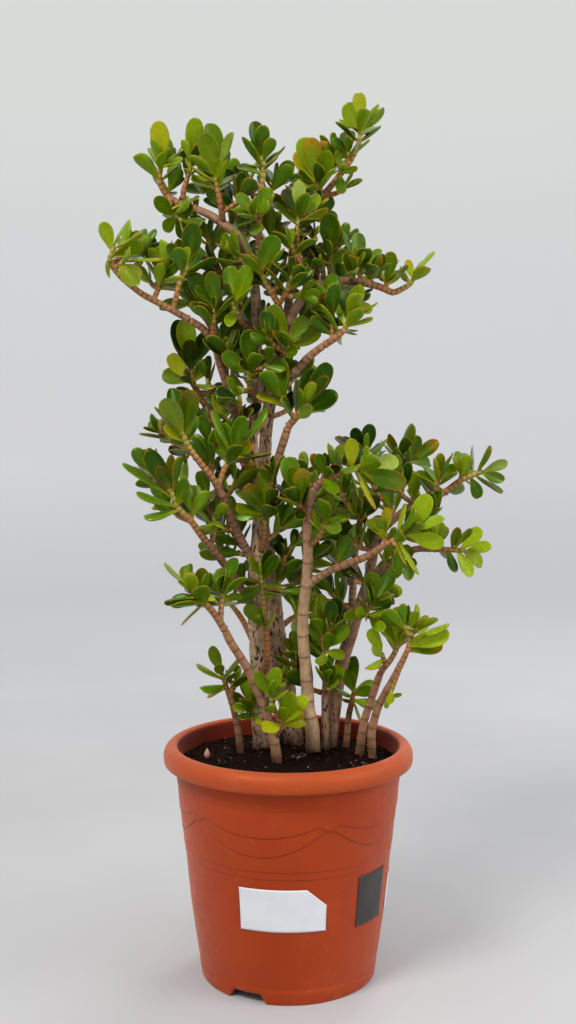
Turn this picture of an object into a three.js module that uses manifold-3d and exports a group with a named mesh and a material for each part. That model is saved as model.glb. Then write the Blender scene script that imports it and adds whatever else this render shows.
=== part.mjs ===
// A jade plant, Crassula ovata, in the terracotta-coloured plastic pot that it grows in. Ten woody stems
// stand in holes in the soil and branch into leafy sprays. Each stem with its limbs is one solid, and so is
// each spray, which is the green end of a shoot, or of a few shoots of one limb, with its thick leaves.

import * as THREE from 'three';
import { mergeVertices } from 'three/addons/utils/BufferGeometryUtils.js';
import Module from 'manifold-3d';

const wasm = await Module();
wasm.setup();

// ------------------------------------------------ driving dimensions of the pot, in millimetres

const POT_HEIGHT = 300;
const RIM_OUTER_RADIUS = 161;
const RIM_INNER_RADIUS = 142.7;
const RIM_DEPTH = 24;
const RIM_WALL = 3;
const NECK_RADIUS = 145.6;
const BASE_RADIUS = 113;
const WALL = 3;
const PLATE_BOTTOM = 12;
const PLATE_TOP = 15;
const UPPER_STEP_HEIGHT = 246;
const BELT_HEIGHTS = [164, 174];
const LOWER_WALL_HEIGHT = 90;
const STEP = 1.2;
const FOOT_FLARE = 2;
const FLARE_POWER = 0.62;
const POT_SEGMENTS = 30;

const NOTCHES = 2;
const FIRST_NOTCH_DEGREES = -27;
const NOTCH_HEIGHT = 12;
const NOTCH_WIDTH_BELOW = 52;
const NOTCH_WIDTH_ABOVE = 37;
const DRAIN_RADIUS = 6;
const DRAIN_CIRCLE = 62;
const DRAINS = 5;

// ------------------------------------------------ soil and stickers, in millimetres

const GAP = 0.3;
const SOIL_EDGE_HEIGHT = 275;
const SOIL_CENTRE_HEIGHT = 283;
const SOIL_BOTTOM = PLATE_TOP + GAP;
const HOLE_CLEARANCE = 0.5;
const HOLE_SIDES = 7;
const HOLE_REACH = 6;
const HOLE_FLOOR_GAP = 0.1;

const STICKER_THICKNESS = 0.6;
const CORNER_DROP = 0.4;
const PAPER_STICKER = { name: 'paper_sticker', from: -26.7, to: 20.7, cutFrom: 9.8, low: 98, high: 152 };
const DARK_STICKER = { name: 'dark_sticker', from: 40.6, to: 64, cutFrom: 64, low: 92, high: 157 };

// ------------------------------------------------ how stems and leaves are laid out, in centimetres

// A point of the plant is given as it lines up, from an eye in front of the pot, with an upright plane
// through the pot's axis: its distance across that plane, its height on it, and how far behind it really is.
const EYE_DISTANCE = 158;
const EYE_HEIGHT = 70.9;
const MM_PER_CM = 10;

const LEAF_LENGTH = 4.4;
const LONGEST_LEAF = 6.2;
const WIDE_LEAF_LEAST = 3.3;
const LEAF_THICKNESS = 0.3;
const LEAF_BOW = 0.07;
const TWIG_TIP_RADIUS = 0.17;
const STUB = 0.25;
const CUT_STEP = 0.1;
const LOWEST_LEAF = 28.9;

// Across, up, back and radius of each point of a limb. A stem's first limb stands in the soil.
const STEMS = [
  {
    name: 'trunk_left', sides: 7, colour: 0x9a7d62,
    limbs: [
      '-3.3,27,3.5,1.3 -3.5,33,3.5,1.22 -3.7,41,3,1.3 -3.8,48,2.4,1.42 -3.75,54,1.8,1.26 -3.4,60,1.2,1'
      + ' -3.1,66,.6,.82 -2.7,71,.2,.78 -1.9,76,0,.8 -1.1,80,0,.7 0,83.5,-.3,.62 1.2,86,-.5,.55 3.2,88.3,-.3,.5'
      + ' 6,89,.3,.45 8,89,.7,.4',
      '-1.7,76.6,0,.5 .5,77.3,-1.5,.45 2.5,79.4,-3,.4 4.6,81,-3.8,.35',
      '-.3,82.6,-.2,.5 .2,88,3,.45 .6,93,4.5,.42 1.8,96.8,4.5,.4 3,98.5,4.2,.38',
      '-3.8,52,1.9,.5 -5.2,54.6,.5,.45 -6.8,57.8,-1.5,.42 -8.4,61.9,-3.7,.4',
      '-4,46.5,2.5,.52 -6,49.8,0,.46 -8.3,53.2,-2.5,.43 -9.4,54.6,-3.7,.4',
      '-3.4,59.5,1.2,.46 -1.8,65,-.9,.45 -.6,68.8,-1.4,.43 0,70.7,-1.6,.38',
    ],
  },
  {
    name: 'trunk_back', sides: 7, colour: 0x9a7d62,
    limbs: [
      '1,27.8,6.6,1.3 0,35,6.4,1.32 -1.1,40,6,1.38 -1.85,45,5.6,1.4 -2.5,52,5,1.24 -3.4,58,4.4,1.02'
      + ' -4.2,64,3.8,.8 -4.6,70,3,.7 -3.9,74.5,2.4,.66 -4,82,1.6,.65 -4.3,89,1,.6 -5.8,94,.6,.55'
      + ' -9.5,97,.5,.45 -12,98.1,.6,.38',
      '-4.2,63.4,3.9,.5 -5.8,68.5,2.5,.5 -7.2,74,1,.46 -8.6,78.5,0,.45 -9.3,81,-.5,.42 -10.8,83,-1,.36'
      + ' -12.6,84.2,-1.5,.34',
      '-3.3,58.6,4.3,.5 -6.3,63.5,5,.46 -8.5,68.8,5,.45 -9.6,71.6,4.6,.42 -11,74.2,4,.36',
      '-4.3,88.6,1,.38 -3.9,91,-.3,.36 -3.7,93,-.9,.32',
    ],
  },
  {
    name: 'stem_ringed', sides: 7, colour: 0xc3a27c,
    limbs: [
      '3.4,26.4,1.5,1 3.1,31,1.3,.95 2.6,34.5,.9,.86 2.3,39,.4,.8 1.9,43.5,-.3,.73 1.9,47,-1,.7 2.4,51,-2,.65'
      + ' 2.5,55,-3.4,.57 2.5,59,-5,.48 2.8,61.2,-6,.43 3.5,62.9,-6.6,.4',
      '2.4,50.4,-1.9,.4 5.5,52.3,-4.2,.38 9.5,53.8,-6.5,.34 11.6,55,-7.6,.3',
    ],
  },
  {
    name: 'stem_right', sides: 7, colour: 0xa58664,
    limbs: [
      '5.3,27.4,5,1 5.7,33,4.8,.98 6.6,39,4.4,.93 8,43.8,3.8,.85 9.4,48.2,3.2,.77 10.4,51.4,2.6,.66'
      + ' 11.1,55.2,2,.53 12.4,57.8,1.5,.46 15,60,.7,.42 17.8,61.5,-.2,.38',
      '10.3,50.9,2.7,.4 12.7,53,.5,.36 16,54.9,-1.8,.32 18.6,55,-3,.28',
      '7.9,43.4,3.9,.42 8.3,50,7,.4 8.7,56,7.6,.38 9.7,60.6,8,.36',
    ],
  },
  { name: 'stump', sides: 7, colour: 0x5c4a38, limbs: ['4.8,27,2.9,.52 4.8,37.2,2.9,.46'] },
  {
    name: 'stem_front_left', sides: 7, colour: 0xa9825f,
    limbs: [
      '-1.2,25,-3.6,.65 -1.9,30.5,-3.9,.58 -3.1,34.5,-4.3,.5 -5.3,39.5,-5,.45 -7.4,42.9,-5.6,.42'
      + ' -8.2,44.6,-5.9,.38',
    ],
  },
  {
    name: 'stem_far_left', sides: 6, colour: 0xa9825f,
    limbs: ['-6,26.4,1.5,.4 -6.6,32,.8,.34 -7.3,35,.2,.28'],
  },
  {
    name: 'stem_front_right', sides: 7, colour: 0xa9825f,
    limbs: ['9,26.4,1.5,.55 9.7,32,1,.45 10.9,36,.4,.4 12,39.2,-.2,.35'],
  },
  {
    name: 'stem_edge_right', sides: 7, colour: 0xa9825f,
    limbs: ['11,26,0,.5 10.8,31,-.6,.47 11.7,34.6,-1.3,.43 13.6,38.2,-2.3,.35 14.4,39.8,-2.8,.3'],
  },
  {
    name: 'stem_small_right', sides: 6, colour: 0xa9825f,
    limbs: ['7.3,27.2,4.5,.36 7.8,33,4,.3 8.1,34.6,3.8,.26'],
  },
];

// Each shoot is the path of its twig and its leaves. A path's first point has the radius too. Leaves are
// listed by where their tips line up: w shows its face to the eye, t its edge, and s is a small one. A number
// of leaves instead of a list is grown in crossed pairs by the rule. A spray's first path leaves the stem,
// and the others leave that path.
const SPRAYS = [
  { name: 'spray_right_arm', on: 'trunk_left', shoots: [
    ['8,89,.7,.38 11.2,88.4,1.3 13.3,87.6,1.8 15.3,88.6,2 16.1,89.9,2',
      '14,93.1t 18.1,93.2t 15.4,92w 16.6,92t 17,90'],
    ['9,88.9,.9,.2 9.1,91,.7', '8.5,95w 9.7,92.3 8,95.5t'],
    ['10.1,88.8,1.1,.2 10.2,90.2,.7', '8.7,91.8 12,92.3w 10.5,92.6t 12.3,91'],
    ['12.3,88,1.5,.2 12.6,89.2,1.4', '13,92.6w 14.5,90.7t'],
  ] },
  { name: 'spray_high_right', on: 'trunk_left', shoots: [
    ['3,98.5,4.2,.36 4.5,99.8,4 7.5,103.5,3.5 8.8,106,3.2 9.1,108.6,3',
      '8.9,112.2w 7.2,111w 10.6,111.2t 11.5,111t 8,112t'],
    ['3.5,98.9,4.1,.22 3.7,100.5,3.5 3.4,102,3',
      '1.2,105.5w 1.5,106.7 2.9,106.6w 3.5,106t 4.8,106.3w 6,103.5 .3,101'],
    ['7.5,103.5,3.5,.2 7.6,105.2,2.8', '6,107.5w 6.8,108.3 7.5,108 8.6,105.8t'],
    ['6.3,102,3.7,.2 6.6,102.6,2.6', '8.5,102.2w 6.5,99.6w'],
    ['4.2,99.5,4.1,.24 3.9,101,6 3.6,102.5,7.6', 4],
  ] },
  { name: 'spray_crown_front', on: 'trunk_left', shoots: [
    ['-.2,83,-.3,.32 -1.4,86.3,-1.6 -2.8,88.7,-2.6 -3.7,90.6,-3.2',
      '-4,96.8w -3.3,94.7w -5.6,95.5t -.7,92.6 -5.8,91.7'],
  ] },
  { name: 'spray_crown_pale', on: 'trunk_left', shoots: [
    ['2.4,87.5,-.4,.28 1.4,91.5,-1.2 1.2,94.5,-1.4 1.4,97.4,-1.4',
      '1,101.3w 2.4,101.3w -.7,100.5 4.5,99.3t 2.8,94w 0,97.8 3.4,96'],
  ] },
  { name: 'spray_arm_root', on: 'trunk_left', shoots: [
    ['5.2,88.8,.1,.24 5.3,92.2,-.4', '4.5,97.3w 6.2,97.5w 7.2,95 3,97.2t 4.2,90.6'],
  ] },
  { name: 'spray_heart', on: 'trunk_left', shoots: [
    ['-1.2,79.4,0,.26 -.3,80.2,-1.8 0,81.2,-2.6', '-.7,86.3w -2.5,85.3w -2.2,82.5 2.3,84.5w 4,83w'],
  ] },
  { name: 'spray_fork', on: 'trunk_left', shoots: [
    ['4.6,81,-3.8,.33 6,81.9,-4.2 7.2,83,-4.6 7.7,84.6,-4.8',
      '9,88.5w 8.5,87 7,88w 10.7,87.2t 10.4,84.8t 8.3,82.2'],
    ['5.6,81.6,-4.1,.24 5.6,83.2,-4 5.5,84.6,-4', '4.6,87.6w 6,88 3.4,86.6t'],
  ] },
  { name: 'spray_left_low_arm', on: 'trunk_left', shoots: [
    ['-8.4,61.9,-3.7,.38 -9.5,63.8,-4.6 -11.2,66,-5.6 -12.8,68.3,-6.2 -13.7,70.4,-6.4',
      '-17.3,74.7w -15.5,75.3 -14.7,73.8w -13.3,75.7w -17.3,72.8 -16.3,71.3w -12,72 -15.3,69.4t -15.2,67.6t'],
    ['-9,62.9,-4.2,.24 -8,65.6,-3.6 -6.3,67.6,-3',
      '-8,73.2t -5.8,72.2w -8.5,71w -3,73.3t -4.3,68.3w -2.1,67.3t -8.8,67.5'],
  ] },
  { name: 'spray_left_bottom_arm', on: 'trunk_left', shoots: [
    ['-9.4,54.6,-3.7,.38 -11,56.6,-5 -12.6,58.8,-6 -14.2,60.4,-6.6 -15,62.6,-6.9',
      '-19.5,67.7t -19,68.6t -17.5,67.8w -16.3,65.8w -14.3,67.7 -13,66.3w -16.5,69t -19.2,62.6t -18.5,59.4t'],
    ['-12.5,58.6,-5.9,.22 -12.1,60.4,-5', '-11.8,63w -13.2,63 -9.4,61.2'],
    ['-9.9,55.2,-4.1,.22 -9.5,57.6,-3.4 -9.6,59.4,-3', '-10.8,64.4w -8.8,62.6 -8,58.6t'],
  ] },
  { name: 'spray_trunk_face', on: 'trunk_left', shoots: [
    ['-3.8,54,1.8,.3 -3.2,56,-.6 -3,58.5,-1.6 -3,61,-2',
      '-2.2,64.8w -2.8,65.8 -7,62.3 -4.8,65.5w -6.3,61 -7.4,58.2w'],
  ] },
  { name: 'spray_orange_twig', on: 'trunk_left', shoots: [
    ['-4,37.5,3.2,.36 -2.7,40.5,1.2 -3,46,.3 -3.4,50,0 -3.6,52,-.1',
      '-3.4,55.6w -5,56.2 -2.8,55.6 -1.3,54.4w -6.7,51.3t -.8,50.8t -6.8,48.6w -3,48.4w -.5,49.2'],
    ['-2.9,44.5,.5,.2 -3.3,45.3,-.4', '-4.6,46.6s'],
  ] },
  { name: 'spray_middle', on: 'trunk_left', shoots: [
    ['0,70.7,-1.6,.34 1.3,72.2,-2.2 2.1,73.4,-2.6',
      '4.5,79w 2.8,78 .7,76.6 5,77 6.8,76.5t 5.9,75.3w 4.7,72.8w'],
    ['.9,71.7,-2,.22 -.2,73,-2.4 -1,74.4,-2.6', '-2.9,77.2 -.4,78w'],
  ] },
  { name: 'spray_trunk_foot', on: 'trunk_left', shoots: [
    ['-3.8,32.3,3.5,.26 -4.5,33.4,.8 -5,35,0', '-5.3,39w -7.8,36.9w -8.6,34.4t -6,33.4 -4,38.2 -3.2,33t'],
  ] },
  { name: 'spray_back_crown_right', on: 'trunk_left', shoots: [
    ['-1,80.3,0,.34 1,82,5 2,84,9 3,86.5,11', 7],
    ['1.3,82.6,6.2,.24 3.6,82.6,7.4 5.6,83.6,8', 4],
  ] },
  { name: 'spray_back_arm', on: 'trunk_left', shoots: [
    ['5.4,88.8,.2,.32 6.5,87.8,4.4 7,88,7.5 7.5,89.5,9.5', 7],
  ] },
  { name: 'spray_back_low_left', on: 'trunk_left', shoots: [
    ['-4,42,2.9,.34 -6,46,7 -8.6,49.4,9.6', 7],
  ] },
  { name: 'spray_left_peak', on: 'trunk_back', shoots: [
    ['-12,98.1,.6,.36 -13.6,98.6,.8 -15.2,99.6,.8 -16.2,101.5,.2 -15.8,103.9,0',
      '-16,108.6w -13.2,106.3w -17.8,105.8 -13.8,107.7t -17.9,104.4t'],
    ['-12.6,98.3,.7,.24 -13.2,100,.3 -12.6,102,.1 -12,104,-.1',
      '-13,109.1w -11.7,109 -10.4,105.4 -12.1,101.6w -10.8,100.3t'],
    ['-15.3,99.7,.8,.2 -14.9,100.6,2.4', '-14,103.7'],
    ['-14.9,99.3,.8,.22 -14.8,97.6,.1 -13.2,96.4,-.4', '-16.8,98.8 -11.6,98.2w -15.8,95w -11,96 -13,93.4'],
  ] },
  { name: 'spray_peak', on: 'trunk_back', shoots: [
    ['-8.2,96.1,.5,.3 -8.5,98.5,-.8 -9,101,-1.2 -9.1,102.9,-1.3',
      '-10.8,107.2w -9.7,108.6 -9,108 -7.7,107.5 -6.7,105w -6,102.8 -12,103t'],
    ['-8.4,97.8,-.4,.22 -8.8,99,3.4 -9.3,101.5,6', 7],
    ['-8.4,97.5,-.3,.2 -6.7,98.6,-.6 -5.9,99.7,-.8', '-5.8,102.4w -4.2,100.6 -7.4,101.4'],
  ] },
  { name: 'spray_crown_top', on: 'trunk_back', shoots: [
    ['-3.7,93,-.9,.3 -3.6,99,-1.2 -3.1,102.5,-1.4 -3.3,104.7,-1.5',
      '-4.6,108.5w -3.2,107.6 -5.2,106.4w -5.9,104t -1.8,105.6t -1.2,103.7'],
    ['-3.6,96,-1,.22 -4.4,97.2,-2.6', '-5.8,100.2w -1.6,98.6 -6.6,96.4 -2.4,100.6w -3.6,93.4'],
  ] },
  { name: 'spray_back_crown', on: 'trunk_back', shoots: [
    ['-4.3,87.4,1.1,.34 -5,90.5,6 -5.4,93,9 -5.8,95.5,11', 7],
    ['-4.8,89.4,4.2,.26 -7,89.6,4.6 -8.8,90.2,4.8', '-8.3,93.4w -7.3,94.2 -9.9,93.4 -11,90.6 -9.6,87.4'],
  ] },
  { name: 'spray_left_arm', on: 'trunk_back', shoots: [
    ['-12.6,84.2,-1.5,.32 -15.5,85.8,-2.2 -18.5,87.4,-2.8 -21,89.4,-3.2 -22.5,91.4,-3.4 -21.9,93.4,-3.5',
      '-22.6,96.8w -20.7,97t -19,96.4t -18.5,95.3 -17.9,93.8w -22.8,89.4t'],
    ['-21.8,90.7,-3.3,.2 -20.7,91.4,-4', '-17.3,91.3w -15.8,92.3t -18,88.6w -16.4,89.6'],
    ['-17,86.7,-2.5,.22 -16.3,88.3,-1.4 -15.5,90.1,-.8', '-13.8,91.3w -15.9,94.2w -14.9,94 -13.4,94t'],
    ['-14.5,85.4,-2,.24 -13.8,88.5,-3 -12.7,91.1,-3.4', '-12,94.6w -11.2,96w -14,95.3 -13.2,96t -9.8,93t'],
  ] },
  { name: 'spray_left_arm_root', on: 'trunk_back', shoots: [
    ['-9.2,80.8,-.4,.32 -9.5,83.5,-1.8 -9.2,85.8,-2.2',
      '-11,91w -12,90.2 -12,87.5w -13,86.4 -10.2,90.4 -9.4,90.2w'],
    ['-9.4,82.6,-1.4,.24 -11,85,3 -12.2,87,5.6', 4],
  ] },
  { name: 'spray_left_inner', on: 'trunk_back', shoots: [
    ['-4,82,1.6,.28 -6.2,84.3,-.8 -7.2,86.8,-1.6', '-7.3,91w -10.4,89.4t -5,91 -4.4,87.8 -7.8,83.2w'],
  ] },
  { name: 'spray_left_mid', on: 'trunk_back', shoots: [
    ['-11,74.2,4,.34 -12,76,3.6 -12.5,78.8,3.4', '-14.5,82.9w -14.8,83.8 -13,84.2w -12,84 -10.7,84w'],
    ['-11.7,75.3,3.8,.22 -12.6,76.6,2.4', '-14.8,80w -16,77.4 -9.4,77.6t -11.2,79.6w'],
    ['-11.5,74.9,3.8,.22 -10,74.9,2.8 -9.2,75,2.4', '-9.3,78.6w -6.6,75.6 -8.4,72'],
  ] },
  { name: 'spray_trunk_fork', on: 'trunk_back', shoots: [
    ['-4,73.6,2.5,.28 -4.9,75.5,-.9 -4.8,78,-2.2',
      '-5.3,82.9w -1.5,81t -8.5,79.7w -4.2,74.4w -7.4,75.8 -2.2,77.4'],
  ] },
  { name: 'spray_back_left_high', on: 'trunk_back', shoots: [
    ['-4,79,1.9,.34 -6.5,81.6,6.6 -8.3,84.4,9.6 -9.4,87,11.5', 7],
    ['-5.6,80.6,5,.24 -5.2,80.2,8.6 -5.6,81.6,11.4', 4],
  ] },
  { name: 'spray_back_middle', on: 'trunk_back', shoots: [
    ['-4.6,69,3.1,.36 -3.6,71,8 -3,73,12 -2.6,75.6,14', 7],
    ['-3.4,71.5,8.8,.24 -.4,72.6,10.4 1.4,74.6,11', 4],
  ] },
  { name: 'spray_back_left', on: 'trunk_back', shoots: [
    ['-3.9,62,4.1,.36 -5.6,65.6,9 -7.4,70,12 -8.4,73,13', 7],
  ] },
  { name: 'spray_back_right_low', on: 'trunk_back', shoots: [
    ['-2.2,52,5,.36 .2,55,9.4 2.2,57.6,12 3.2,60,13.4', 7],
  ] },
  { name: 'spray_back_low', on: 'trunk_back', shoots: [
    ['-1.4,44.6,5.6,.32 .4,46,9.6 2.4,47,12', 7],
  ] },
  { name: 'spray_front_top', on: 'stem_ringed', shoots: [
    ['3.5,62.9,-6.6,.38 4.6,63.9,-6.9 7,64.8,-7.5 9.8,65.8,-8',
      '8,69.3w 11.7,68.3w 12.5,69t 14.2,66.2w 15.2,64w 11.8,60.6t 9.3,62t'],
    ['5.9,64.4,-7.2,.2 6.2,65.6,-6.8', '5.3,68.6t 6.7,68.2w 8.4,67.2t'],
    ['4.4,63.7,-6.9,.2 4.6,65,-7.4', '2.6,67w 3.6,67.4w 5.8,62'],
  ] },
  { name: 'spray_front_right', on: 'stem_ringed', shoots: [
    ['11.6,55,-7.6,.28 14,56.4,-8.6 15.8,57.2,-9',
      '14.3,60.8t 17.3,52.2t 16.8,60.4w 19.2,61w 20,57w 19.9,59 18,55.2 15.5,53.2t'],
    ['12.2,55.4,-7.9,.2 12.5,57.2,-7.4', '11,58.6w 12.3,60.5w'],
    ['13.4,56.1,-8.3,.18 13.9,55.3,-9', '14.2,52w'],
  ] },
  { name: 'spray_front_mid', on: 'stem_ringed', shoots: [
    ['2.5,55.4,-3.5,.26 3.8,56.4,-5.2 4.9,59,-6.2', '5.4,62.2w 4,61.4 6.8,57.6w 7.8,61t 3,58.8t'],
  ] },
  { name: 'spray_front_cluster', on: 'stem_ringed', shoots: [
    ['2.5,58.4,-4.8,.26 1.6,60.5,-6.6 1,62.4,-7',
      '.2,65.6w 1.5,64.8w 2.5,66.4w -1,66.2w 0,66.8 -1.4,61.2 1.3,58.6w'],
  ] },
  { name: 'spray_right_end', on: 'stem_right', shoots: [
    ['17.8,61.5,-.2,.36 20,62.3,-.8 22,63.8,-1.4 24.9,65,-2',
      '27.8,66.4w 27.4,63.6w 24.7,61.6w 23.6,68 26.4,62 25.2,68.4t'],
    ['18.5,61.8,-.4,.2 19.3,64.5,-1.2', '19,67.4w 17.2,65.6 20.9,67.2 21.6,65.5w 20.2,61.8'],
    ['22,63.8,-1.4,.2 22.1,64.6,-.6', '22.4,67.2 23.6,63.4 21.4,61.4'],
  ] },
  { name: 'spray_right_low', on: 'stem_right', shoots: [
    ['18.6,55,-3,.26 21,54.9,-3.9 22.8,54.8,-4.3',
      '24.6,57.6w 26,55.3w 23.3,51.4w 21,52w 25,53 21.3,58w 22.5,58.2'],
    ['19.4,55,-3.3,.18 19.6,56,-3.8', '20.2,53.4'],
  ] },
  { name: 'spray_right_back', on: 'stem_right', shoots: [
    ['9.7,60.6,8,.34 12,64.2,8 13.3,65.8,8 14.3,67.5,8', '14.2,71w 12.9,70.8 15.5,71 12.2,68.8t'],
    ['12.6,64.9,8,.24 14.5,65.6,7.4 15.8,66.4,7', '16.6,69.4w 15.3,69.4 18.4,66 19.2,68.6w 17,63w'],
    ['10.6,62,8,.24 9,64.6,10.4 8.6,67.2,11.6', 7],
    ['11.2,62.9,8,.24 10.2,66,6.4 9.6,67.6,6', '5.8,69 8,70.4w 9.8,71.2w 10.9,71 12.4,67.4'],
  ] },
  { name: 'spray_right_trunk', on: 'stem_right', shoots: [
    ['8.9,46.6,3.4,.3 9.7,46.6,.2 11.4,48.6,-1', '13.2,50w 13.3,51.8 14.9,51.5t 11,52.4 9.4,50.4'],
    ['9.6,46.6,.6,.2 10.4,46.2,-1.6', '13,47.8t 12.3,44.6w 8.3,47.4w'],
  ] },
  { name: 'spray_back_right', on: 'stem_right', shoots: [
    ['8.3,50.4,7.1,.34 6.4,52,10 5.4,54.6,12', 7],
    ['7.4,51.2,8.4,.24 9.8,50.6,11 12,50.6,12.6', 7],
  ] },
  { name: 'spray_stump', on: 'stump', shoots: [
    ['4.8,37.2,2.9,.26 4.5,39.5,2.4 4.6,42.5,1.6', '7.4,41.4w 8,45w 2.6,45.6w 2.4,41.6'],
    ['4.6,42,1.7,.22 5.3,44.6,1', '5.5,48.6w 8.1,48.4w 4,49 3.1,48.4'],
  ] },
  { name: 'spray_front_left', on: 'stem_front_left', shoots: [
    ['-8.2,44.6,-5.9,.36 -9.8,47,-6.3 -11.4,48.6,-6.7 -12.3,49.5,-6.9',
      '-16,53.2t -13.8,53.6w -12.3,53.2w -11,54.5t -15.9,48.9t -14,45.6t -14.6,47.4'],
    ['-8.5,45,-6,.26 -8.6,48,-5 -8.3,50.2,-4.6',
      '-10.9,54.2t -10,54.6 -6.8,53.8w -11.6,51.4t -5,51.4 -6.1,48.6w'],
  ] },
  { name: 'spray_front_foot', on: 'stem_front_left', shoots: [
    ['-1.8,30.2,-3.9,.26 -1.1,32,-4.8 -1.8,34.2,-5 -2.3,36,-5.2',
      '-3.9,39.4w -2.6,40w -1.1,39.7t -.6,36.9'],
    ['-1.2,32,-4.8,.2 -.6,33,-5.2', '2.4,35.6w 2,32.9w 1.6,31.4 .6,36.7 -3.6,31.9'],
  ] },
  { name: 'spray_far_left', on: 'stem_far_left', shoots: [
    ['-7.3,35,.2,.26 -7.9,36.8,-.2 -8.6,38.9,-.6',
      '-9.9,42.3w -9.2,42.6w -11.6,40.4t -7.7,42t -6.3,39.4 -11,37.4t -10.6,35.6t'],
    ['-7.5,35.7,0,.2 -6.8,37.6,-1.2', '-7,41.6w -5,40'],
  ] },
  { name: 'spray_low_right', on: 'stem_front_right', shoots: [
    ['12,39.2,-.2,.32 13.3,40.8,-.6 14.3,42.8,-.8', '12.9,47.2w 14.5,47.4 12.2,45.4 16.2,45'],
    ['12.4,39.8,-.3,.22 12,41.6,-1.2', '11.1,44.8w 9.2,43.4t 9.8,40.4t 12.9,44.6w'],
  ] },
  { name: 'spray_edge_right', on: 'stem_edge_right', shoots: [
    ['14.4,39.8,-2.8,.28 15.4,42,-3.3 15.8,43.8,-3.5',
      '15.6,48w 17.4,48w 18.6,46.2 19.4,47t 20.2,45.6w 20,42.3w 18.4,43.6t'],
    ['12,35.2,-1.5,.18 13,35.6,-2.2', '14.6,36.4s'],
  ] },
  { name: 'spray_small_right', on: 'stem_small_right', shoots: [
    ['8.1,34.6,3.8,.24 8.6,37,3.2',
      '7.7,40.6w 8.6,41 10.4,40.4 11.9,37.8w 6,37.4t 11.2,35.6t 10,33.2t 6.6,34.4'],
  ] },
];

// ------------------------------------------------ small tools

// Numbers from 0 to 1 that are the same each time for one seed.
function seeded(seed) {
  let state = (seed * 7919 + 12345) % 4294967296;
  const next = () => {
    state = (state * 1664525 + 1013904223) % 4294967296;
    return state / 4294967296;
  };
  next();
  next();
  return next;
}

// A point of the layout at its real place, in centimetres.
function place(across, up, back) {
  const reach = 1 + back / EYE_DISTANCE;
  return new THREE.Vector3(across * reach, back, EYE_HEIGHT + (up - EYE_HEIGHT) * reach);
}

// The points of a limb or twig with their radii. Radii that aren't given run down evenly to the twig's tip.
function readPath(text) {
  const rows = text.split(' ').map((row) => row.split(',').map(Number));
  const first = rows[0][3];
  return rows.map(([across, up, back, radius], i) => ({
    at: place(across, up, back),
    radius: radius ?? first + (TWIG_TIP_RADIUS - first) * i / (rows.length - 1),
  }));
}

// The stretch of a path between two distances from its start, in centimetres.
function stretch(path, from, to) {
  const points = [];
  let gone = 0;
  for (let i = 1; i < path.length; i += 1) {
    const [a, b] = [path[i - 1], path[i]];
    const length = a.at.distanceTo(b.at);
    const low = Math.max(0, (from - gone) / length);
    const high = Math.min(1, (to - gone) / length);
    if (low < high) {
      const along = (t) => ({ at: a.at.clone().lerp(b.at, t), radius: a.radius + (b.radius - a.radius) * t });
      if (points.length === 0) {
        points.push(along(low));
      }
      points.push(along(high));
    }
    gone += length;
  }
  return points;
}

// The point at a distance from a path's start.
function pointAt(path, at) {
  return stretch(path, at - 0.001, at).at(-1).at;
}

function pathLength(path) {
  let length = 0;
  for (let i = 1; i < path.length; i += 1) {
    length += path[i].at.distanceTo(path[i - 1].at);
  }
  return length;
}

// The place on a path that is nearest to a point, and how far the point is from the path's skin there.
function nearestOn(point, path) {
  let nearest = { gap: Infinity };
  for (let i = 1; i < path.length; i += 1) {
    const [a, b] = [path[i - 1], path[i]];
    const run = b.at.clone().sub(a.at);
    const t = Math.min(1, Math.max(0, point.clone().sub(a.at).dot(run) / run.lengthSq()));
    const at = a.at.clone().addScaledVector(run, t);
    const gap = point.distanceTo(at) - (a.radius + (b.radius - a.radius) * t);
    if (gap < nearest.gap) {
      nearest = { at, gap };
    }
  }
  return nearest;
}

// ------------------------------------------------ solids

function solidOf(points, triangles) {
  const wanted = new wasm.Mesh({
    numProp: 3,
    vertProperties: new Float32Array(points.flatMap((p) => p.toArray().map((v) => v * MM_PER_CM))),
    triVerts: new Uint32Array(triangles.flat()),
  });
  return new wasm.Manifold(wanted);
}

// A closed solid from a three.js geometry in millimetres.
function solidFrom(geometry) {
  const bare = geometry.clone();
  bare.deleteAttribute('normal');
  bare.deleteAttribute('uv');
  const merged = mergeVertices(bare, 1e-4);
  return new wasm.Manifold(new wasm.Mesh({
    numProp: 3,
    vertProperties: new Float32Array(merged.attributes.position.array),
    triVerts: new Uint32Array(merged.index.array),
  }));
}

// A round tube along a path, with flat ends.
function tube(path, sides, grown = 0) {
  const points = [];
  const triangles = [];
  let across = null;
  path.forEach((here, i) => {
    const before = path[Math.max(0, i - 1)].at;
    const after = path[Math.min(path.length - 1, i + 1)].at;
    const ahead = after.clone().sub(before).normalize();
    if (!across) {
      const helper = Math.abs(ahead.x) < 0.8 ? new THREE.Vector3(1, 0, 0) : new THREE.Vector3(0, 1, 0);
      across = helper.cross(ahead).normalize();
    }
    across = across.sub(ahead.clone().multiplyScalar(across.dot(ahead))).normalize();
    const other = ahead.clone().cross(across);
    for (let k = 0; k < sides; k += 1) {
      const turn = (2 * Math.PI * k) / sides;
      const out = across.clone().multiplyScalar(Math.cos(turn)).addScaledVector(other, Math.sin(turn));
      points.push(here.at.clone().addScaledVector(out, here.radius + grown));
    }
  });
  for (let i = 1; i < path.length; i += 1) {
    for (let k = 0; k < sides; k += 1) {
      const [a, b] = [(i - 1) * sides + k, (i - 1) * sides + (k + 1) % sides];
      triangles.push([a, b, b + sides], [a, b + sides, a + sides]);
    }
  }
  const last = (path.length - 1) * sides;
  for (let k = 1; k < sides - 1; k += 1) {
    triangles.push([0, k + 1, k], [last, last + k, last + k + 1]);
  }
  return solidOf(points, triangles);
}

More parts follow.
